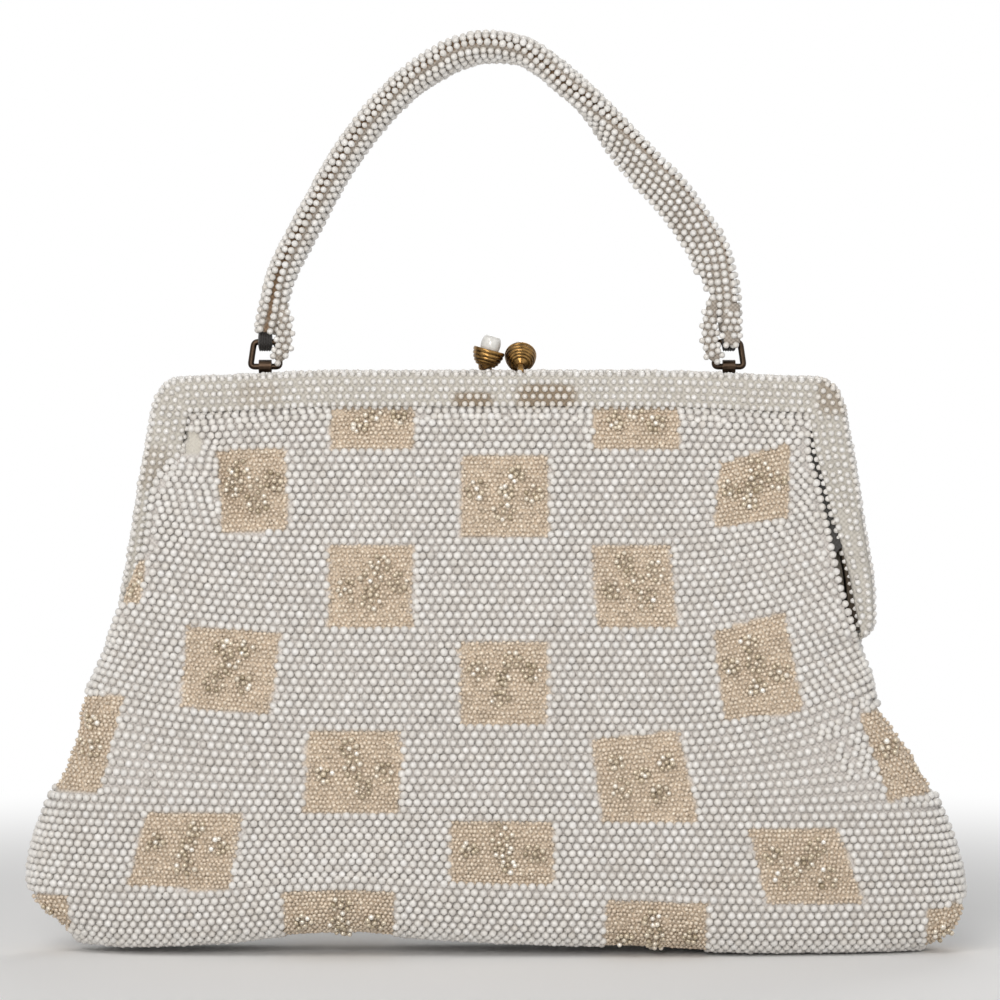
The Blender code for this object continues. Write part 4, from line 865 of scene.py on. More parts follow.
def sew_gold(side, label, seed):
    draw = np.random.default_rng(seed)
    seed_x, seed_run, spray_x, spray_run, spray_rise = [], [], [], [], []
    for corners in squares:
        wide = math.hypot(corners[2][0] - corners[3][0], corners[2][1] - corners[3][1])
        tall = math.hypot(corners[0][0] - corners[3][0], corners[0][1] - corners[3][1])
        columns, rows = round(wide / SEED_PITCH), round(tall / SEED_PITCH)
        grid_x, grid_up = np.meshgrid((np.arange(columns) + 0.5) / columns, (np.arange(rows) + 0.5) / rows)
        grid_x = grid_x + SEED_STAGGER / columns * (np.arange(rows) % 2 * 2 - 1)[:, None]
        grid_x = grid_x.ravel() + draw.normal(0.0, SEED_DRIFT / columns, grid_x.size)
        grid_up = grid_up.ravel() + draw.normal(0.0, SEED_DRIFT / rows, grid_up.size)
        x, run = square_spots(corners, grid_x, grid_up)
        seed_x.append(x)
        seed_run.append(run)
        start = draw.uniform(0.0, 2 * math.pi)
        for ring in range(SPRAY_RINGS):
            angle = start + ring * 2 * math.pi / (SPRAY_RINGS - 1) + draw.normal(0.0, SPRAY_TURN_SPREAD)
            spread = 0.0 if ring == SPRAY_RINGS - 1 else SPRAY_SPREAD
            centre_x, centre_run = square_spots(
                corners, np.array(0.5 + spread * math.cos(angle) * SPRAY_WIDE),
                np.array(SPRAY_CENTRE + spread * math.sin(angle) * SPRAY_TALL))
            turns = draw.uniform(0.0, 6.0) + np.arange(SPRAY_RING_BEADS) * 2 * math.pi / SPRAY_RING_BEADS
            radius = SPRAY_RING_RADIUS * draw.uniform(*SPRAY_SIZES)
            spray_x.append(centre_x + radius * np.cos(turns) + draw.normal(0, SPRAY_DRIFT, len(turns)))
            spray_run.append(centre_run + radius * np.sin(turns) + draw.normal(0, SPRAY_DRIFT, len(turns)))
            spray_rise.append(SPRAY_SEAT + draw.uniform(0.0, SPRAY_RISE, len(turns)))
            spray_x.append(np.atleast_1d(centre_x))
            spray_run.append(np.atleast_1d(centre_run))
            spray_rise.append(np.array([SPRAY_SEAT + SPRAY_MIDDLE_RISE]))
    for kind, xs, runs, rises, shape, material in (
        ("gold_seeds", seed_x, seed_run, None, fine_shape(SEED_RADIUS), seed_finish),
        ("glass_sprays", spray_x, spray_run, spray_rise,
         bead_shape(SPRAY_SIDES, SPRAY_FACE_RINGS, SPRAY_BEAD_RADIUS), spray_finish),
    ):
        x, run = np.concatenate(xs), np.concatenate(runs)
        held, across = on_cloth(side, x, run)
        if rises is not None:
            held &= np.abs(across) < SPRAY_EDGE
        across, run = across[held], run[held]
        rise = np.full(len(run), SEED_SEAT) if rises is None else np.concatenate(rises)[held]
        spots, along, normals = skin_frame(side, across, run)
        spots = spots + normals * (rise + draw.normal(0.0, SEED_SEAT_DRIFT, len(run)))[:, None]
        along = unit(along + normals * draw.normal(0.0, SEED_TILT, len(run))[:, None])
        normals = np.cross(along, unit(np.cross(normals, along)))
        scales = draw.normal(1.0, SEED_SIZE_SPREAD, len(run))
        tones = np.clip(draw.normal(0.5, SEED_TONE_SPREAD, len(run)), 0.0, 1.0)
        beads = sew_beads(f"{label}_{kind}", shape, spots, along, normals, scales, tones, material)
        hang(beads, side)
        print(label, kind, len(spots))


sew_gold(FRONT, "front", 21)
sew_gold(BACK, "back", 22)

# Frame covers: the same beaded cloth drawn tight round each frame half, so its beads stand further apart.
# It turns over the front edge into the groove, ends in round tips at the front, and carries a few gold patches.
cover_low, cover_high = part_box("front_frame_cover")
rivet_low, rivet_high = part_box("hinge_rivet_left")
HINGE_HEIGHT = (rivet_low[2] + rivet_high[2]) / 2
FRAME_TOP = cover_high[2]
ARM_HALF_SPAN = cover_high[0]
COVER_FACE = -cover_low[1]
BACK_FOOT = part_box("back_frame_cover")[0][2]
ARM_RADIUS = 0.167
ARM_BEND_HEIGHT = HINGE_HEIGHT + 0.007
CORNER_RADIUS = 0.008
INNER_CORNER_RADIUS = 0.0012
BAND_WIDTH = 0.0102
COVER_SINK = 0.0005
COVER_EDGE_RADIUS = 0.0018
COVER_LIP_RADIUS = 0.0010
COVER_LIP = 0.0026
COVER_PARTING = 0.0005
COVER_WALL = 0.0009
COVER_BEAD_ROWS = 9
COVER_BEAD_PITCH = 0.0022
COVER_BEAD_SEAT = 0.0002
COVER_BEAD_RADIUS = 0.00084
COVER_FIRST_ROW = 0.55
COVER_START = 0.3
COVER_CLEAR = 0.78
COVER_SEAT_DRIFT = 0.00008
COVER_DRIFT = 0.00018
COVER_TONE = 0.6
COVER_TONE_SPREAD = 0.18
COVER_SIZE_SPREAD = 0.06
COVER_COLUMNS = 330
COVER_ROWS = 26
ARM_STATIONS = 70
CORNER_STATIONS = 16
FOOT_STATIONS = 8
TOP_STATIONS = 80
TIP_STATIONS = 10
FOOT_RADIUS = 0.0051
FRONT_TIP_ANGLE = math.radians(-81)
# (height, inset of the cover's inner edge) down the front's right arm, which narrows to its tip
RIGHT_ARM_INNER = (
    (0.080, 0.0042), (0.0865, 0.0044), (0.091, 0.0052), (0.0965, 0.0064), (0.110, 0.0078), (0.1237, 0.0091),
    (0.1375, 0.0104), (0.145, 0.0102), (FRAME_TOP, 0.0102),
)
GOLD_BEAD_SHARE = 0.35
GOLD_FADE_START = 0.2
GOLD_FADE_END = 1.8
SHARE_STEP = 0.0005
QUARTER_STEPS = 8
LINE_SAMPLES = 1600
# Gold patches of the front cover: place across, height, reach across, reach up, strength
GOLD_PATCHES = (
    (-0.0066, 0.1508, 0.0055, 0.0024, 0.9), (0.0135, 0.1515, 0.0082, 0.0040, 0.9),
    (0.0930, 0.1525, 0.0055, 0.0055, 0.6), (-0.0945, 0.1325, 0.0050, 0.0060, 0.35),
    (-0.0650, 0.1525, 0.0060, 0.0035, 0.3),
)
# (height, how far the arm is drawn in) above the bend of the arm, below which it runs straight down
ARM_DRAW = (
    (0.091, 0.0018), (0.0965, 0.0004), (0.102, 0.0007), (0.107, 0.0013), (0.1127, 0.0018), (0.121, 0.0022),
    (0.129, 0.0020), (0.1375, 0.0015), (0.1457, 0.0007), (0.151, 0.0), (FRAME_TOP, 0.0),
)
LEFT_DRAW = 0.0009
LEFT_DRAW_LOW = 0.092
LEFT_DRAW_HIGH = 0.106
ARM_DRAW_START = 0.050
ARM_DRAW_END = 0.080


def arch_half(inset):
    """Right half of the frame's contour at an inset, from the bend of its arm to the middle of the top bar."""
    radius = max(CORNER_RADIUS - inset, INNER_CORNER_RADIUS)
    centre_z = FRAME_TOP - inset - radius
    rise = centre_z - ARM_BEND_HEIGHT
    reach = math.sqrt((ARM_RADIUS - inset - radius) ** 2 - rise ** 2)
    lean = math.atan2(rise, reach)
    arm = np.linspace(0.0, lean, ARM_STATIONS)
    corner = np.linspace(lean, math.pi / 2, CORNER_STATIONS)[1:]
    centre_x = ARM_HALF_SPAN - ARM_RADIUS + reach
    top = np.linspace(centre_x, 0.0, TOP_STATIONS)[1:]
    x = np.concatenate((ARM_HALF_SPAN - ARM_RADIUS + (ARM_RADIUS - inset) * np.cos(arm),
                        centre_x + radius * np.cos(corner), top))
    z = np.concatenate((ARM_BEND_HEIGHT + (ARM_RADIUS - inset) * np.sin(arm),
                        centre_z + radius * np.sin(corner), np.full(len(top), FRAME_TOP - inset)))
    x = x - smooth_value(ARM_DRAW, z) * smooth_share(x, ARM_DRAW_START, ARM_DRAW_END)
    z = z - bar_drop(x, z)
    return np.stack((x, z), axis=1)


def cover_half(sink, foot_height, tip_angle=None, inner_table=None):
    """Matching outer and inner lines of half an arch, from its foot or rounded tip up to the middle of the top bar."""
    outer, inner = arch_half(sink), arch_half(BAND_WIDTH - sink)
    foot = np.linspace(foot_height, ARM_BEND_HEIGHT, FOOT_STATIONS)[:-1]
    outer = np.concatenate((np.stack((np.full(len(foot), outer[0, 0]), foot), axis=1), outer))
    inner = np.concatenate((np.stack((np.full(len(foot), inner[0, 0]), foot), axis=1), inner))
    if tip_angle:
        radius = FOOT_RADIUS - sink
        middle = outer[0, 0] - radius
        angles = np.linspace(tip_angle, 0.0, TIP_STATIONS)[:-1]
        rise = foot_height + radius * np.sin(angles)
        near = np.full(len(angles), inner[0, 0]) if inner_table else middle - radius * np.cos(angles)
        outer = np.concatenate((np.stack((middle + radius * np.cos(angles), rise), axis=1), outer))
        inner = np.concatenate((np.stack((near, rise), axis=1), inner))
    if inner_table:
        inner[:, 0] += BAND_WIDTH - smooth_value(inner_table, inner[:, 1])
        inner[:, 0] = np.minimum(inner[:, 0], outer[:, 0])
    return outer, inner


def cover_lines(side, sink, foot_height, tapered):
    """The two lines of a whole arch, from its left foot round to its right one."""
    if side == FRONT:
        left = right = cover_half(sink, HINGE_HEIGHT, -math.pi / 2)
        if tapered:
            right = cover_half(sink, HINGE_HEIGHT, FRONT_TIP_ANGLE, RIGHT_ARM_INNER)
    else:
        left = right = cover_half(sink, foot_height)
    lines = []
    for left_line, right_line in zip(left, right):
        share = smooth_share(left_line[:, 0], ARM_DRAW_START, ARM_DRAW_END)
        drawn = LEFT_DRAW * share * smooth_share(left_line[:, 1], LEFT_DRAW_LOW, LEFT_DRAW_HIGH)
        lines.append(np.concatenate((np.stack((drawn - left_line[:, 0], left_line[:, 1]), axis=1), right_line[-2::-1])))
    return lines


def quarter(radius):
    angles = np.linspace(0.0, math.pi / 2, QUARTER_STEPS)
    return radius * np.sin(angles), radius * (1 - np.cos(angles))


def arch_section(sink, face_depth, edge_radius, lip_radius, lip):
    """Inset, depth and length along the section of an arch: outer wall, face and inner lip."""
    edge_run, edge_turn = quarter(edge_radius)
    lip_turn, lip_run = quarter(lip_radius)
    width = BAND_WIDTH - 2 * sink
    inset = np.concatenate(([0.0], edge_turn, width - lip_radius + lip_turn, [width]))
    depth = np.concatenate(([COVER_PARTING], face_depth - edge_radius + edge_run, face_depth - lip_run,
                            [face_depth - lip]))
    return inset / width, depth, np.concatenate(([0.0], np.cumsum(np.hypot(np.diff(inset), np.diff(depth)))))


def arch_place(side, lines, section):
    """Rule that puts a share along an arch and a share across its section in place."""
    (outer, inner), (section_share, section_depth, section_run) = lines, section
    stations = np.linspace(0.0, 1.0, len(outer))

    def place(u, v):
        share = np.interp(v * section_run[-1], section_run, section_share)
        depth = np.interp(v * section_run[-1], section_run, section_depth)
        points = []
        for axis in (0, 1):
            far, near = np.interp(u, stations, outer[:, axis]), np.interp(u, stations, inner[:, axis])
            points.append(far + (near - far) * share)
        return np.stack((points[0], side * depth, points[1]), axis=-1)

    return place


def surface_frame(place, u, v, outward):
    """Places on a surface, with the direction along its first share and the normal on its outward side."""
    along = place(np.clip(u + SHARE_STEP, 0, 1), v) - place(np.clip(u - SHARE_STEP, 0, 1), v)
    across = place(u, np.clip(v + SHARE_STEP, 0, 1)) - place(u, np.clip(v - SHARE_STEP, 0, 1))
    normal = np.cross(along, across) * outward
    return place(u, v), unit(along), unit(normal)


def even_shares(place, v, pitch, offset):
    """Shares along a surface's line at v, an even pitch apart."""
    fine = np.linspace(0.0, 1.0, LINE_SAMPLES)
    length = run_along(place(fine, np.full(LINE_SAMPLES, v)))
    return np.interp((np.arange(0, int(length[-1] / pitch)) + offset) * pitch, length, fine)


def thin_out(spots, distance):
    """Which spots to keep so that none lies closer than a distance to one kept before it."""
    keep = np.zeros(len(spots), bool)
    for index, spot in enumerate(spots):
        if not keep.any() or np.min(np.sum((spots[keep] - spot) ** 2, axis=1)) > distance * distance:
            keep[index] = True
    return keep


def mark_gold(piece, spots_of, size=1, share=1.0):
    """Write how gold each corner of a piece is, from the patches."""
    gold = np.zeros(len(spots_of))
    for x, z, reach_x, reach_z, strength in GOLD_PATCHES:
        away = ((spots_of[:, 0] - x) / reach_x) ** 4 + ((spots_of[:, 2] - z) / reach_z) ** 4
        gold = np.maximum(gold, share * strength * (1 - smooth_share(away, GOLD_FADE_START, GOLD_FADE_END)))
    mark_corners(piece, "gold", np.repeat(gold, size))


cover_finish = cloth_finish("cover_cotton", (0.36, 0.335, 0.295), (0.58, 0.55, 0.50), 4200.0, 0.8, 0.5,
                            gold=(0.23, 0.17, 0.11))


def sew_cover(side, label, seed):
    draw = np.random.default_rng(seed)
    section = arch_section(COVER_SINK, COVER_FACE - COVER_SINK, COVER_EDGE_RADIUS, COVER_LIP_RADIUS, COVER_LIP)
    place = arch_place(side, cover_lines(side, COVER_SINK, BACK_FOOT, True), section)
    cover = mapped_grid(f"{label}_cover_cloth", place, COVER_COLUMNS, COVER_ROWS, cover_finish, COVER_WALL,
                        flip=side == FRONT)
    mark_gold(cover, corner_spots(cover))
    put_on(cover, f"{label}_half", f"{label}_frame_cover")
    us, vs = [], []
    for row in range(COVER_BEAD_ROWS):
        v = (row + COVER_FIRST_ROW) / COVER_BEAD_ROWS
        u = even_shares(place, v, COVER_BEAD_PITCH, 0.5 * (row % 2) + COVER_START)
        us.append(u)
        vs.append(np.full(len(u), v))
    order = np.argsort(np.abs(np.concatenate(vs) - 0.5), kind="stable")
    u, v = np.concatenate(us)[order], np.concatenate(vs)[order]
    spots, along, normals = surface_frame(place, u, v, side)
    keep = thin_out(spots, COVER_BEAD_PITCH * COVER_CLEAR) & (np.linalg.norm(normals, axis=1) > 0.5)
    spots, along, normals = spots[keep], along[keep], normals[keep]
    spots = spots + normals * (COVER_BEAD_SEAT + draw.normal(0, COVER_SEAT_DRIFT, len(spots)))[:, None]
    spots = spots + along * draw.normal(0, COVER_DRIFT, len(spots))[:, None]
    tones = np.clip(draw.normal(COVER_TONE, COVER_TONE_SPREAD, len(spots)), 0.0, 1.0)
    shape = bead_shape(WHITE_BEAD_SIDES, WHITE_BEAD_RINGS, COVER_BEAD_RADIUS)
    beads = sew_beads(f"{label}_cover_beads", shape, spots, along, normals,
                      draw.normal(1.0, COVER_SIZE_SPREAD, len(spots)), tones, white_finish)
    mark_gold(beads, spots, len(shape[0]), GOLD_BEAD_SHARE)
    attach(beads, f"{label}_half")


sew_cover(FRONT, "front", 31)
sew_cover(BACK, "back", 32)

# Handle: a sewn sleeve of the beaded cloth round a soft cord, its brown seam toward the viewer on the left.
# It leans and twists toward its right end, and a short tab of it hangs inside each ring.
joint_places = {joint["name"]: joint["pos_m"] for joint in frame["joints"]}
RING_X = -joint_places["handle_swing"][0]
HANDLE_Y = joint_places["handle_swing"][1]
RING_TOP_Z = joint_places["handle_swing"][2]
HANDLE_RISE = 0.0815
HANDLE_HALF_WIDTH = 0.0062
HANDLE_HALF_THICKNESS = 0.00375
HANDLE_END_HALF_WIDTH = 0.0037
HANDLE_END_HALF_THICKNESS = 0.0038
HANDLE_TAPER_START = 0.002
HANDLE_TAPER_END = 0.024
HANDLE_BEAD_INSET = 0.0010
HANDLE_CAP = 0.0016
SEAM_CREASE = 0.30
SEAM_CREASE_ANGLE = 0.28
SEAM_HALF_BAND = 0.00140
HANDLE_BEAD_RADIUS = 0.00100
HANDLE_BEAD_SEAT = 0.0005
HANDLE_ROW_PITCH = 0.00196
HANDLE_BEAD_PITCH = 0.0021
CORD_SHARE = 0.6
CORD_START = 0.008
CORD_COLUMNS = 120
CORD_ROWS = 20
HANDLE_BEAD_ROWS = 9
HANDLE_CLEAR = 0.74
HANDLE_SEAT_DRIFT = 0.00007
HANDLE_SIZE_SPREAD = 0.05
HANDLE_TONE_SPREAD = 0.2
AXIS_STEP = 0.002
HANDLE_STATIONS = 320
HANDLE_SIDES = 40
ROUTE_STATIONS = 240
ROUTE_ANGLES = 40
SEAM_FADE_LOW = 0.93
SEAM_FADE_HIGH = 0.985
LAST_ROW_ROOM = 0.4
FEWEST_STATIONS = 4
# Centre line from the left ring to the right: shares of the ring spacing and of the rise, then the seam's turn
# in degrees from the viewer's side, negative toward the outer edge
HANDLE_ROUTE = (
    (-0.993, 0.029, -10), (-0.967, 0.112, -10), (-0.945, 0.19, -10), (-0.907, 0.267, -10), (-0.851, 0.352, -11),
    (-0.765, 0.477, -12), (-0.6875, 0.585, -12), (-0.576, 0.713, -14), (-0.477, 0.804, -15), (-0.374, 0.882, -18),
    (-0.271, 0.936, -21), (-0.155, 0.983, -25), (-0.03, 1.0, -18), (0.09, 0.99, -10), (0.193, 0.949, 5),
    (0.292, 0.888, 15), (0.4, 0.811, 0), (0.516, 0.703, -35), (0.636, 0.591, -60), (0.735, 0.51, -70),
    (0.829, 0.412, -80), (0.907, 0.315, -78), (0.954, 0.223, -70), (0.988, 0.129, -65), (0.997, 0.055, -60),
    (1.0, 0.029, -60),
)
route = np.array(HANDLE_ROUTE)
route_x, route_z = route[:, 0] * RING_X, RING_TOP_Z + route[:, 1] * HANDLE_RISE
route_length = np.concatenate(([0.0], np.cumsum(np.hypot(np.diff(route_x), np.diff(route_z)))))
HANDLE_LENGTH = float(route_length[-1])


def handle_axis(run):
    """Centre, seam direction and thickness direction of the handle at a run along it."""
    def centre_at(at):
        x = smooth_value(np.stack((route_length, route_x), axis=1), at)
        z = smooth_value(np.stack((route_length, route_z), axis=1), at)
        return np.stack((x, np.full_like(x, HANDLE_Y), z), axis=-1)

    centre = centre_at(run)
    along = unit(centre_at(np.clip(run + AXIS_STEP, 0, HANDLE_LENGTH))
                 - centre_at(np.clip(run - AXIS_STEP, 0, HANDLE_LENGTH)))
    turn = np.radians(smooth_value(np.stack((route_length, route[:, 2]), axis=1), run))[..., None]
    outward = np.stack((-along[..., 2], np.zeros_like(run), along[..., 0]), axis=-1)
    seam = np.array((0.0, -1.0, 0.0)) * np.cos(turn) - outward * np.sin(turn)
    return centre, seam, unit(np.cross(along, seam))


def handle_halves(run):
    """Half width along the seam's direction and half thickness of the cloth at a run."""
    from_end = np.minimum(run, HANDLE_LENGTH - run)
    share = smooth_share(from_end, HANDLE_TAPER_START, HANDLE_TAPER_END)
    width = HANDLE_END_HALF_WIDTH + (HANDLE_HALF_WIDTH - HANDLE_END_HALF_WIDTH) * share - HANDLE_BEAD_INSET
    thick = (HANDLE_END_HALF_THICKNESS + (HANDLE_HALF_THICKNESS - HANDLE_END_HALF_THICKNESS) * share
             - HANDLE_BEAD_INSET)
    cap = np.sqrt(np.maximum(1 - np.clip(1 - from_end / HANDLE_CAP, 0.0, 1.0) ** 2, 0.0))
    return width * cap, thick * cap


def handle_place(u, v):
    run = u * HANDLE_LENGTH
    centre, seam, across = handle_axis(run)
    width, thick = handle_halves(run)
    angle = 2 * math.pi * v
    off = np.minimum(angle, 2 * math.pi - angle)
    crease = 1 - SEAM_CREASE * np.exp(-(off / SEAM_CREASE_ANGLE) ** 2)
    return (centre + seam * (width * np.cos(angle) * crease)[..., None]
            + across * (thick * np.sin(angle))[..., None])


# The sleeve's cotton is painted darker than the bag's net, as painted shade on the handle; its brown seam is the
# thread's own colour
sleeve_painted_shade_finish = cloth_finish("sleeve_cotton_painted_shade", (0.20, 0.17, 0.14), (0.44, 0.39, 0.34), 5200.0, 0.85, 0.6,
                             gold=(0.23, 0.15, 0.09))
sleeve = mapped_grid("handle_sleeve_cloth", handle_place, HANDLE_STATIONS, HANDLE_SIDES, sleeve_painted_shade_finish, closed=True)
stations = np.linspace(0.0, 1.0, ROUTE_STATIONS)
angles = np.linspace(0.0, 0.5, ROUTE_ANGLES)
around = handle_place(stations[:, None], angles[None, :])
around = np.concatenate((np.zeros((len(stations), 1)),
                         np.cumsum(np.linalg.norm(np.diff(around, axis=1), axis=2), axis=1)), axis=1)
corner_places = corner_spots(sleeve)
centres, seams, _ = handle_axis(stations * HANDLE_LENGTH)
nearest = np.argmin(np.linalg.norm(corner_places[:, None, :] - centres[None], axis=2), axis=1)
toward = unit(corner_places - centres[nearest])
seam_share = smooth_share(np.einsum("ij,ij->i", toward, seams[nearest]), SEAM_FADE_LOW, SEAM_FADE_HIGH)
mark_corners(sleeve, "gold", seam_share)
put_on(sleeve, "handle", "handle_sleeve")


def cord_place(u, v):
    run = CORD_START + u * (HANDLE_LENGTH - 2 * CORD_START)
    centre, seam, across = handle_axis(run)
    width, thick = handle_halves(run)
    angle = 2 * math.pi * v
    return (centre + seam * (CORD_SHARE * width * np.cos(angle))[..., None]
            + across * (CORD_SHARE * thick * np.sin(angle))[..., None])


cord_finish = cloth_finish("cord_cotton", (0.40, 0.37, 0.32), (0.66, 0.62, 0.55), 3200.0, 0.9, 0.5)
cord = mapped_grid("handle_cord", cord_place, CORD_COLUMNS, CORD_ROWS, cord_finish, closed=True)
put_on(cord, "handle", "handle_core")

draw = np.random.default_rng(41)
us, vs = [], []
for row in range(HANDLE_BEAD_ROWS):
    distance = SEAM_HALF_BAND + row * HANDLE_ROW_PITCH
    held = distance < around[:, -1] - LAST_ROW_ROOM * HANDLE_ROW_PITCH
    if held.sum() < FEWEST_STATIONS:
        continue
    share = np.array([np.interp(distance, line, angles) for line in around])
    first, last = np.flatnonzero(held)[[0, -1]]
    u_line = stations[first:last + 1]
    for turn in (1, -1):
        v_line = share[first:last + 1] if turn > 0 else 1 - share[first:last + 1]
        places = handle_place(u_line, v_line)
        length = run_along(places)
        at = (np.arange(int(length[-1] / HANDLE_BEAD_PITCH)) + 0.25 + 0.5 * (row % 2)) * HANDLE_BEAD_PITCH
        us.append(np.interp(at, length, u_line))
        vs.append(np.interp(at, length, v_line))
u, v = np.concatenate(us), np.concatenate(vs)
spots, along, normals = surface_frame(handle_place, u, v, -1)
middle, _, _ = handle_axis(u * HANDLE_LENGTH)
normals *= np.sign(np.einsum("ij,ij->i", normals, spots - middle))[:, None]
keep = thin_out(spots, HANDLE_ROW_PITCH * HANDLE_CLEAR)
spots, along, normals = spots[keep], along[keep], normals[keep]
spots = spots + normals * (HANDLE_BEAD_SEAT + draw.normal(0, HANDLE_SEAT_DRIFT, len(spots)))[:, None]
handle_beads = sew_beads("handle_beads", bead_shape(WHITE_BEAD_SIDES, WHITE_BEAD_RINGS, HANDLE_BEAD_RADIUS), spots,
                         along, normals, draw.normal(1.0, HANDLE_SIZE_SPREAD, len(spots)),
                         np.clip(draw.normal(0.5, HANDLE_TONE_SPREAD, len(spots)), 0, 1), white_finish)
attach(handle_beads, "handle")

# Ends of the sleeve: a narrow fold of it hangs at the inner side of each ring and turns in before the ring's leg.
# The rest is bound to the ring's top bar with dark waxed thread. The fold gives when the handle leans.
FOLD_HALF_WIDTH = 0.0018
FOLD_HALF_DEPTH = 0.0010
FOLD_CAP = 0.14
FOLD_AROUND = 6
TAB_AROUND = 8
FOLD_BEAD_STEP = 0.00172
FOLD_BEAD_RADIUS = 0.00092
# Line of a fold: place in from the ring's middle, place in front of the ring, height
FOLD_LINE = (
    (0.0036, 0.0010, 0.1800), (0.0050, 0.0016, 0.1745), (0.0055, 0.0024, 0.1700), (0.0053, 0.0028, 0.1665),
    (0.0043, 0.0029, 0.1637), (0.0028, 0.0029, 0.1625),
)
TAB_HALF_WIDTH = 0.0023
TAB_LINE = (
    (-0.0006, 0.0026, 0.1780), (-0.0006, 0.0034, 0.1745), (-0.0006, 0.0039, 0.1715), (-0.0006, 0.0040, 0.1690),
    (-0.0006, 0.0038, 0.1664),
)
FOLD_COLUMNS = 44
FOLD_ROWS = 24
FOLD_CLEAR = 0.0014
FOLD_BEAD_SEAT = 0.0004
FOLD_FIRST_BEAD = 0.7
FOLD_STEP = 0.0004
LOOP_COLUMNS = 40
LOOP_ROWS = 60
LOOP_RADIUS = 0.0026
LOOP_RISE = 0.0036
LOOP_HALF_WIDTH = 0.0020
LOOP_THREADS = 6
LOOP_GROOVE = 0.00022
LOOP_FLAT_SHARE = 0.72


def fold_place(turn, fold_line, half_width):
    """Rule for a flat fold of the sleeve along its line, and the line's length."""
    fold_run = run_along(fold_line)

    def centre_at(run):
        off, front, z = (smooth_value(np.stack((fold_run, fold_line[:, k]), axis=1), run) for k in range(3))
        return np.stack((turn * (RING_X - off), HANDLE_Y - front, z), axis=-1)

    def place(u, v):
        run = u * fold_run[-1]
        along = unit(centre_at(np.clip(run + FOLD_STEP, 0, fold_run[-1]))
                     - centre_at(np.clip(run - FOLD_STEP, 0, fold_run[-1])))
        front = np.broadcast_to(np.array((0.0, -1.0, 0.0)), along.shape)
        side = unit(np.cross(along, front))
        end = np.minimum(u, 1 - u) / FOLD_CAP
        cap = np.sqrt(np.maximum(1 - np.clip(1 - end, 0.0, 1.0) ** 2, 0.0))
        angle = 2 * math.pi * v
        return (centre_at(run) + side * (half_width * cap * np.cos(angle))[..., None]
                + front * (FOLD_HALF_DEPTH * cap * np.sin(angle))[..., None])

    return place, fold_run[-1]


def loop_place(turn):
    def place(u, v):
        angle = 2 * math.pi * u
        across = np.abs(2 * v - 1)
        round_off = np.sqrt(np.maximum(1 - np.clip((across - LOOP_FLAT_SHARE) / (1 - LOOP_FLAT_SHARE), 0, 1) ** 2, 0.0))
        thread = LOOP_GROOVE * np.abs(np.sin(math.pi * LOOP_THREADS * v + angle / 2))
        radius = (LOOP_RADIUS - LOOP_GROOVE + thread) * round_off
        rise = np.where(np.sin(angle) > 0, LOOP_RISE / LOOP_RADIUS, 1.0)
        x = turn * RING_X + LOOP_HALF_WIDTH * (2 * v - 1)
        return np.stack((x, HANDLE_Y + radius * np.cos(angle), RING_TOP_Z + radius * rise * np.sin(angle)), axis=-1)

    return place


thread_finish = cloth_finish("dark_thread", (0.004, 0.003, 0.002), (0.014, 0.010, 0.008), 6500.0, 0.6, 0.4)
sleeve_spots = spots
for turn, label, line, half_width, around_count in (
    (-1, "fold_left", FOLD_LINE, FOLD_HALF_WIDTH, FOLD_AROUND),
    (1, "fold_right", FOLD_LINE, FOLD_HALF_WIDTH, FOLD_AROUND),
    (1, "tab_right", TAB_LINE, TAB_HALF_WIDTH, TAB_AROUND),
):
    place, length = fold_place(turn, np.array(line), half_width)
    fold = mapped_grid(f"sleeve_{label}", place, FOLD_COLUMNS, FOLD_ROWS, sleeve_painted_shade_finish, closed=True)
    count = int(length / FOLD_BEAD_STEP)
    u, v = np.meshgrid((np.arange(count) + FOLD_FIRST_BEAD) / count, (np.arange(around_count) + 0.25) / around_count)
    v = (v + 0.5 / around_count * (np.arange(count) % 2)[None, :]) % 1.0
    spots, along, normals = surface_frame(place, u.ravel(), v.ravel(), 1)
    middle = place(u.ravel(), v.ravel()) + place(u.ravel(), (v.ravel() + 0.5) % 1.0)
    normals *= np.sign(np.einsum("ij,ij->i", normals, spots - middle / 2))[:, None]
    keep = thin_out(np.concatenate((sleeve_spots, spots)), FOLD_CLEAR)[len(sleeve_spots):]
    spots, along, normals = spots[keep], along[keep], normals[keep]
    beads = sew_beads(f"sleeve_{label}_beads", bead_shape(WHITE_BEAD_SIDES, WHITE_BEAD_RINGS, FOLD_BEAD_RADIUS),
                      spots + normals * FOLD_BEAD_SEAT, along, normals, np.ones(len(spots)),
                      np.clip(draw.normal(0.5, HANDLE_TONE_SPREAD, len(spots)), 0, 1), white_finish)
    for piece in (fold, beads):
        if line is TAB_LINE:
            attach(piece, "handle")
        else:
            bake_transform(piece)
for turn, label in ((-1, "left"), (1, "right")):
    loop = mapped_grid(f"ring_loop_{label}", loop_place(turn), LOOP_COLUMNS, LOOP_ROWS, thread_finish, closed=True)
    put_on(loop, "handle", f"handle_loop_{label}")

# Rings: bent from dark bronze wire, wider at the foot, worn bright on their outer corners.
# The lugs that they turn in, the posts and the rivets keep their frame solids with an aged finish.
RING_HALF_TOP = 0.0031
RING_HALF_FOOT = 0.0041
RING_WIRE = 0.00085
RING_BEND = 0.0012
RING_CORNER_STEPS = 8
RING_SIDES = 16
RING_COLUMNS = 96
RING_STEP = 0.0002


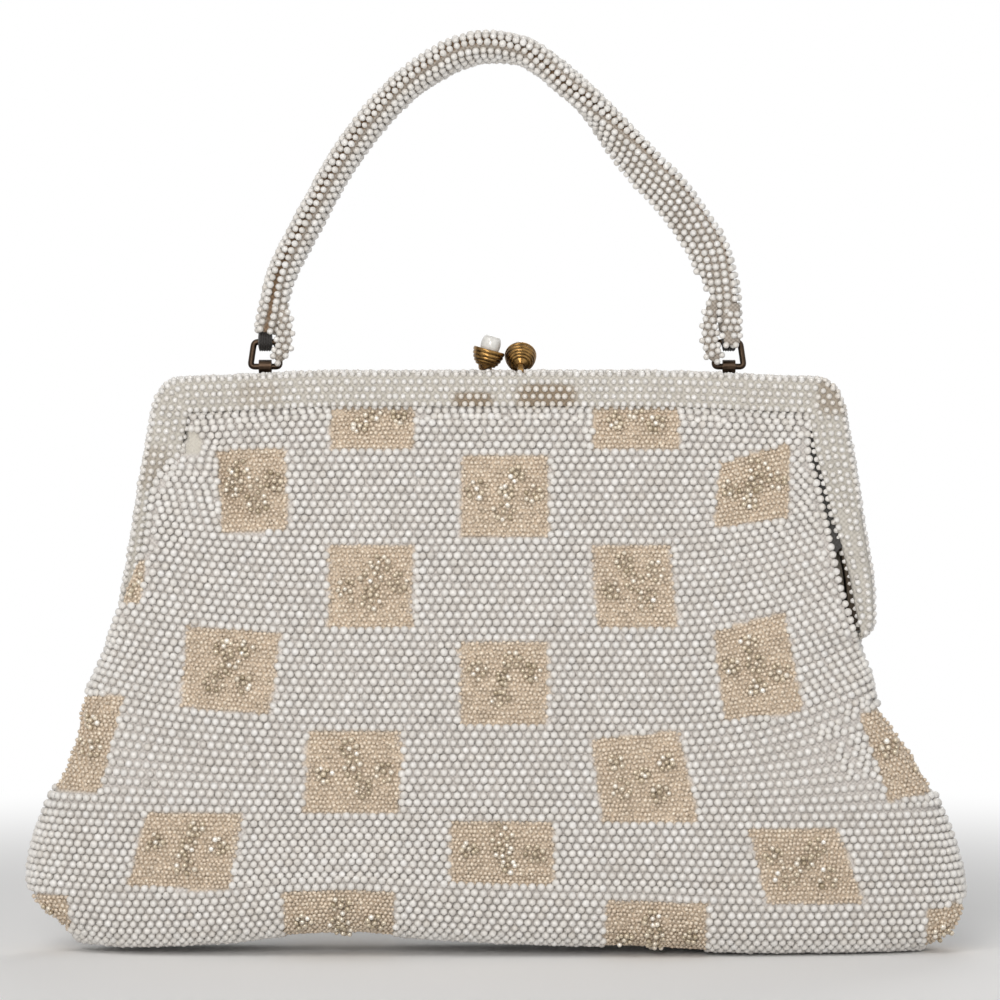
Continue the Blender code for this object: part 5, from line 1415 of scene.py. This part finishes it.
def metal_finish(name, dark, light, roughness, scale, bump):
    """Aged metal: a dark patina with worn light places and fine scratches."""
    material, tree, shader, _ = new_material(name)
    place = add_node(tree, "ShaderNodeTexCoord").outputs["Object"]
    wear = add_node(tree, "ShaderNodeTexNoise", Vector=place, Scale=scale, Detail=5.0, Roughness=0.6)
    edge = add_node(tree, "ShaderNodeNewGeometry")
    point = add_node(tree, "ShaderNodeMapRange", i0=edge.outputs["Pointiness"], From_Min=0.46, From_Max=0.58)
    mixed = add_node(tree, "ShaderNodeMath", {"operation": "MULTIPLY_ADD"}, i0=point.outputs[0], i1=0.55,
                     i2=wear.outputs["Fac"])
    level = add_node(tree, "ShaderNodeMapRange", i0=mixed.outputs[0], From_Min=0.42, From_Max=0.95)
    tree.links.new(add_ramp(tree, level.outputs[0], dark, light), shader.inputs["Base Color"])
    rough = add_node(tree, "ShaderNodeMapRange", i0=wear.outputs["Fac"], From_Min=0.3, From_Max=0.7,
                     To_Min=roughness * 0.75, To_Max=roughness * 1.35)
    tree.links.new(rough.outputs[0], shader.inputs["Roughness"])
    shader.inputs["Metallic"].default_value = 1.0
    relief = add_node(tree, "ShaderNodeBump", Strength=bump, Distance=0.0001, Height=wear.outputs["Fac"])
    tree.links.new(relief.outputs["Normal"], shader.inputs["Normal"])
    return material


def ring_line():
    """The ring's centre line: four corners, each a bend."""
    foot_z = joint_places["ring_left_swing"][2]
    corners = np.array(((-RING_HALF_FOOT, foot_z), (RING_HALF_FOOT, foot_z), (RING_HALF_TOP, RING_TOP_Z),
                        (-RING_HALF_TOP, RING_TOP_Z)))
    points = []
    for index, corner in enumerate(corners):
        before, after = corners[index - 1] - corner, corners[(index + 1) % 4] - corner
        start = corner + before / np.linalg.norm(before) * RING_BEND
        end = corner + after / np.linalg.norm(after) * RING_BEND
        for t in np.linspace(0.0, 1.0, RING_CORNER_STEPS):
            points.append(start * (1 - t) ** 2 + corner * 2 * t * (1 - t) + end * t * t)
    return np.array(points)


def ring_place(turn):
    line = ring_line()
    loop = np.concatenate((line, line[:1]))
    length = run_along(loop)

    def centre(at):
        at = np.mod(at, length[-1])
        return np.stack((np.interp(at, length, loop[:, 0]), np.interp(at, length, loop[:, 1])), axis=-1)

    def place(u, v):
        at = u * length[-1]
        middle = centre(at)
        along = unit(centre(at + RING_STEP) - centre(at - RING_STEP))
        angle = 2 * math.pi * v
        flat = RING_WIRE * np.cos(angle)
        x = turn * RING_X + middle[..., 0] - along[..., 1] * flat
        z = middle[..., 1] + along[..., 0] * flat
        return np.stack((x, HANDLE_Y + RING_WIRE * np.sin(angle), z), axis=-1)

    return place


bronze_finish = metal_finish("aged_bronze", (0.006, 0.0045, 0.0035), (0.060, 0.040, 0.027), 0.36, 900.0, 0.4)
brass_finish = metal_finish("aged_brass", (0.010, 0.004, 0.002), (0.34, 0.195, 0.065), 0.24, 500.0, 0.3)
for turn, label in ((-1, "left"), (1, "right")):
    ring = mapped_grid(f"wire_ring_{label}", ring_place(turn), RING_COLUMNS, RING_SIDES, bronze_finish, closed=True)
    put_on(ring, f"ring_{label}", f"handle_ring_{label}")
for node, material in (
    ("handle_lug_left", bronze_finish), ("handle_lug_right", bronze_finish), ("clasp_post_front", brass_finish),
    ("clasp_post_back", brass_finish), ("hinge_rivet_left", brass_finish), ("hinge_rivet_right", brass_finish),
):
    frame["nodes"][node].data.materials.clear()
    frame["nodes"][node].data.materials.append(material)

# Frame halves: channels folded from thin steel and dulled brown, each open at its inner side to hold the cloth's edge.
# They show in the slit beside the right arm, and round the mouth when the bag is open.
STEEL_SINK = 0.0021
STEEL_FACE = 0.0067
STEEL_EDGE_RADIUS = 0.0012
STEEL_LIP_RADIUS = 0.0006
STEEL_LIP = 0.0022
STEEL_SHEET = 0.0008
STEEL_COLUMNS = 260
STEEL_ROWS = 22
STEEL_BACK_FOOT = 0.0885
steel_finish = metal_finish("frame_steel", (0.012, 0.009, 0.007), (0.060, 0.048, 0.036), 0.45, 350.0, 0.3)
for side, label in ((FRONT, "front"), (BACK, "back")):
    section = arch_section(STEEL_SINK, STEEL_FACE, STEEL_EDGE_RADIUS, STEEL_LIP_RADIUS, STEEL_LIP)
    place = arch_place(side, cover_lines(side, STEEL_SINK, STEEL_BACK_FOOT, False), section)
    channel = mapped_grid(f"{label}_channel", place, STEEL_COLUMNS, STEEL_ROWS, steel_finish, STEEL_SHEET,
                          flip=side == FRONT)
    put_on(channel, f"{label}_half", f"{label}_frame")

# Kiss-lock: two spun brass cups with ribs rolled into them, each holding a white bead.
# The left one shows its bead, the right one its closed, pointed end, and both are darkened by handling.
CUP_RADIUS = 0.0042
CUP_DEPTH = 0.0050
CUP_FULLNESS = 0.75
NECK_DEPTH = 0.0056
NECK_RADIUS = 0.0011
CUP_RIB = 0.00022
CUP_RIBS = 5
CUP_SIDES = 64
CUP_ROWS = 120
CUP_OPENING = math.radians(66)
RIB_SHARPNESS = 0.8
PEARL_SIDES = 32
PEARL_ROWS = 28
PEARL_FULLNESS = 0.55
PEARL_GROUND = 0.86
SEAT_RADIUS = 0.0031
PEARL_RISE = 0.0014
PEARL_RADIUS = 0.00275
CUPS = (
    ("front", "front_half", (0.00645, 0.0020, FRAME_TOP + 0.0048), (0.0, 0.81, 0.59)),
    ("back", "back_half", (-0.0021, -0.0006, FRAME_TOP + 0.0061), (0.26, -0.05, 0.965)),
)
cup_turn = np.linspace(0.0, CUP_OPENING, 80)
cup_ribs = CUP_RIB * np.abs(np.sin(CUP_RIBS * math.pi * np.clip(cup_turn / CUP_OPENING, 0.0, 1.0))) ** RIB_SHARPNESS
cup_outer = np.stack(((CUP_RADIUS + cup_ribs) * np.cos(cup_turn) ** CUP_FULLNESS,
                      -(CUP_DEPTH + cup_ribs) * np.sin(cup_turn)), axis=1)
seat_low, seat_high = math.radians(3), math.acos(PEARL_RISE / SEAT_RADIUS)
seat_turn = np.linspace(seat_high, seat_low, 30)
cup_seat = np.stack((SEAT_RADIUS * np.sin(seat_turn), PEARL_RISE - SEAT_RADIUS * np.cos(seat_turn)), axis=1)
cup_line = np.concatenate(([(0.0, -NECK_DEPTH), (NECK_RADIUS, -NECK_DEPTH + 0.0001)], cup_outer[::-1], cup_seat,
                           [(0.0, cup_seat[-1, 1])]))
cup_run = run_along(cup_line)


def spun_place(spot, axis, line_run, line):
    """Rule for a form turned about an axis through a spot, from its section."""
    turn = np.array(Vector(axis).to_track_quat("Z", "Y").to_matrix())

    def place(u, v):
        angle = 2 * math.pi * u
        radius = np.interp(v * line_run[-1], line_run, line[:, 0])
        height = np.interp(v * line_run[-1], line_run, line[:, 1])
        local = np.stack((radius * np.cos(angle), radius * np.sin(angle), height), axis=-1)
        return local @ turn.T + np.array(spot)

    return place


def pearl_line(flat):
    """Section of a bead: round below, its upper end ground flat."""
    turn = np.linspace(-math.pi / 2, math.pi / 2, 40)
    radius = PEARL_RADIUS * np.cos(turn) ** PEARL_FULLNESS
    height = PEARL_RADIUS * np.sin(turn)
    return np.stack((radius, PEARL_RISE + np.minimum(height, flat)), axis=1)


pearl_finish = bead_finish("white_pearl", (0.70, 0.69, 0.66), (0.80, 0.79, 0.77), (0.86, 0.86, 0.85), 0.22, 0.0, 0.4)
for label, body, spot, axis in CUPS:
    axis = tuple(Vector(axis).normalized())
    cup = mapped_grid(f"ribbed_cup_{label}", spun_place(spot, axis, cup_run, cup_line), CUP_SIDES, CUP_ROWS,
                      brass_finish, closed=True)
    put_on(cup, body, f"clasp_cup_{label}")
    line = pearl_line(PEARL_RADIUS * (PEARL_GROUND if label == "back" else 1.0))
    line_run = run_along(line)
    pearl = mapped_grid(f"lock_pearl_{label}", spun_place(spot, axis, line_run, line), PEARL_SIDES, PEARL_ROWS,
                        pearl_finish, closed=True)
    put_on(pearl, body, f"clasp_pearl_{label}")

# Lining: cream satin, one cut behind each beaded cloth, loose enough for soft creases, and held in the frame's groove.
LINING_GAP = 0.0016
LINING_GROOVE_GAP = 0.0011
LINING_WALL = 0.0003
LINING_COLUMNS = 110
LINING_ROWS = 90
LINING_NEAR = 0.0003
CREASE_DEPTH = 0.0007
CREASE_ACROSS = 21.0
CREASE_UP = 33.0
CREASE_SWAY = 0.6
CREASE_FADE_LOW = 0.120
CREASE_FADE_HIGH = 0.145
CREASE_NEAR = 0.003
CREASE_FAR = 0.008
EDGE_GAP_SHARE = 0.75
BOARD_HALF_LENGTH = 0.095
BOARD_HALF_WIDTH = 0.010
BOARD_CORNER = 0.003
BOARD_TOP = PANEL_FOOT + CLOTH_WALL + 0.0014
BOARD_WALL = 0.0012
BOARD_ROOM = 0.0004

satin_finish = cloth_finish("cream_satin", (0.50, 0.43, 0.33), (0.70, 0.63, 0.52), 7000.0, 0.42, 0.25)


def lining_place(side):
    def place(u, v):
        across = (2 * u - 1) * (1 + LAND_SHARE)
        spot = skin_point(side, across, CLOTH_RUN * v)
        x, y, z = spot[..., 0], np.abs(spot[..., 1]), spot[..., 2]
        gap = LINING_GAP + (LINING_GROOVE_GAP - LINING_GAP) * smooth_share(z, HINGE_LOW, HINGE_HIGH)
        wave = np.sin(2 * math.pi * (CREASE_ACROSS * x + CREASE_SWAY * np.sin(CREASE_UP * z * 2)))
        crease = CREASE_DEPTH * (0.5 + 0.5 * wave) * (1 - smooth_share(z, CREASE_FADE_LOW, CREASE_FADE_HIGH))
        x = x - np.sign(x) * gap * smooth_share(np.abs(across), EDGE_GAP_SHARE, 1.0)
        y = np.maximum(y - gap - crease * smooth_share(y, CREASE_NEAR, CREASE_FAR), LINING_NEAR)
        z = np.maximum(z, BOARD_TOP + BOARD_ROOM + smooth_value(FLOOR_LIFT, x) * (1 - smooth_share(z, 0.0, LIFT_FADE)))
        return np.stack((x, side * y, z), axis=-1)

    return place


front_lining = mapped_grid("front_lining", lining_place(FRONT), LINING_COLUMNS, LINING_ROWS, satin_finish,
                           LINING_WALL)
hang(front_lining, FRONT)
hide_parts("lining_front_lower", "lining_front_upper")
back_lining = mapped_grid("back_lining", lining_place(BACK), LINING_COLUMNS, LINING_ROWS, satin_finish,
                          LINING_WALL, flip=True)
put_on(back_lining, "back_half", "lining_back")

# Slip pocket: a patch of the same satin with a folded hem, sewn to the back lining on three sides. It gapes a little.
POCKET_HALF_WIDTH = 0.0345
POCKET_FOOT = 0.058
POCKET_HEIGHT = 0.0455
POCKET_ROOM = 0.0012
POCKET_GAPE = 0.0016
HEM_SHARE = 0.88
HEM_STEP = 0.00035
HEM_FADE = 0.015
POCKET_GRID = 50


def pocket_place(u, v):
    x = (2 * u - 1) * POCKET_HALF_WIDTH
    z = POCKET_FOOT + POCKET_HEIGHT * v
    run = cloth_run_at(x, z)
    _, across = on_cloth(BACK, x, run)
    depth = np.abs(skin_point(BACK, across, run)[..., 1]) - LINING_GAP - CREASE_DEPTH - POCKET_ROOM
    gape = POCKET_GAPE * smooth_share(v, 0.2, 1.0) * (1 - (2 * u - 1) ** 2)
    hem = HEM_STEP * smooth_share(v, HEM_SHARE, HEM_SHARE + HEM_FADE)
    return np.stack((x, depth - gape - hem, z), axis=-1)


pocket = mapped_grid("lining_pocket_patch", pocket_place, POCKET_GRID, POCKET_GRID, satin_finish, LINING_WALL,
                     flip=True)
put_on(pocket, "back_half", "lining_pocket")

# Side gussets: strips of the satin between the frame's arms, pleated inward while the bag is shut.
GUSSET_FOOT = 0.0952
GUSSET_TOP = 0.1458
GUSSET_HALF_DEPTH = 0.0026
GUSSET_FOLD_LOW = 0.005
GUSSET_FOLD_HIGH = 0.0095
GUSSET_PLEATS = 2
GUSSET_EDGE = 0.0006
GUSSET_COLUMNS = 64
GUSSET_ROWS = 40
gusset_line = arch_half(BAND_WIDTH + GUSSET_EDGE)[:ARM_STATIONS]


def gusset_place(turn):
    def place(u, v):
        z = GUSSET_FOOT + (GUSSET_TOP - GUSSET_FOOT) * v
        reach = GUSSET_FOLD_LOW + (GUSSET_FOLD_HIGH - GUSSET_FOLD_LOW) * v
        fold = reach * (1 - np.cos(2 * math.pi * GUSSET_PLEATS * u)) / 2
        x = np.interp(z, gusset_line[:, 1], gusset_line[:, 0]) - fold
        return np.stack((turn * x, GUSSET_HALF_DEPTH * (2 * u - 1), z), axis=-1)

    return place


for turn, label in ((-1, "left"), (1, "right")):
    gusset = mapped_grid(f"{label}_gusset", gusset_place(turn), GUSSET_COLUMNS, GUSSET_ROWS, satin_finish,
                         LINING_WALL)
    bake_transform(gusset)
    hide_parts(f"side_gusset_{label}")

# Base board: a strip of grey card between the cloth and the lining. It has warped where the bag's edge lifts.
CARD_DARK = (0.20, 0.18, 0.15)
CARD_LIGHT = (0.38, 0.35, 0.30)
BOARD_COLUMNS = 120
BOARD_ROWS = 8
board_finish, tree, shader, _ = new_material("grey_card")
fibre = add_node(tree, "ShaderNodeTexNoise", Vector=add_node(tree, "ShaderNodeTexCoord").outputs["Object"], Scale=900.0,
                 Detail=4.0)
tree.links.new(add_ramp(tree, fibre.outputs["Fac"], CARD_DARK, CARD_LIGHT), shader.inputs["Base Color"])
shader.inputs["Roughness"].default_value = 0.9


def board_place(u, v):
    x = (2 * u - 1) * BOARD_HALF_LENGTH
    corner = np.clip(np.abs(x) - BOARD_HALF_LENGTH + BOARD_CORNER, 0.0, BOARD_CORNER)
    half = BOARD_HALF_WIDTH - BOARD_CORNER + np.sqrt(BOARD_CORNER ** 2 - corner ** 2)
    return np.stack((x, (2 * v - 1) * half, BOARD_TOP + smooth_value(FLOOR_LIFT, x)), axis=-1)


board = mapped_grid("card_board", board_place, BOARD_COLUMNS, BOARD_ROWS, board_finish, BOARD_WALL)
put_on(board, "back_half", "base_board")
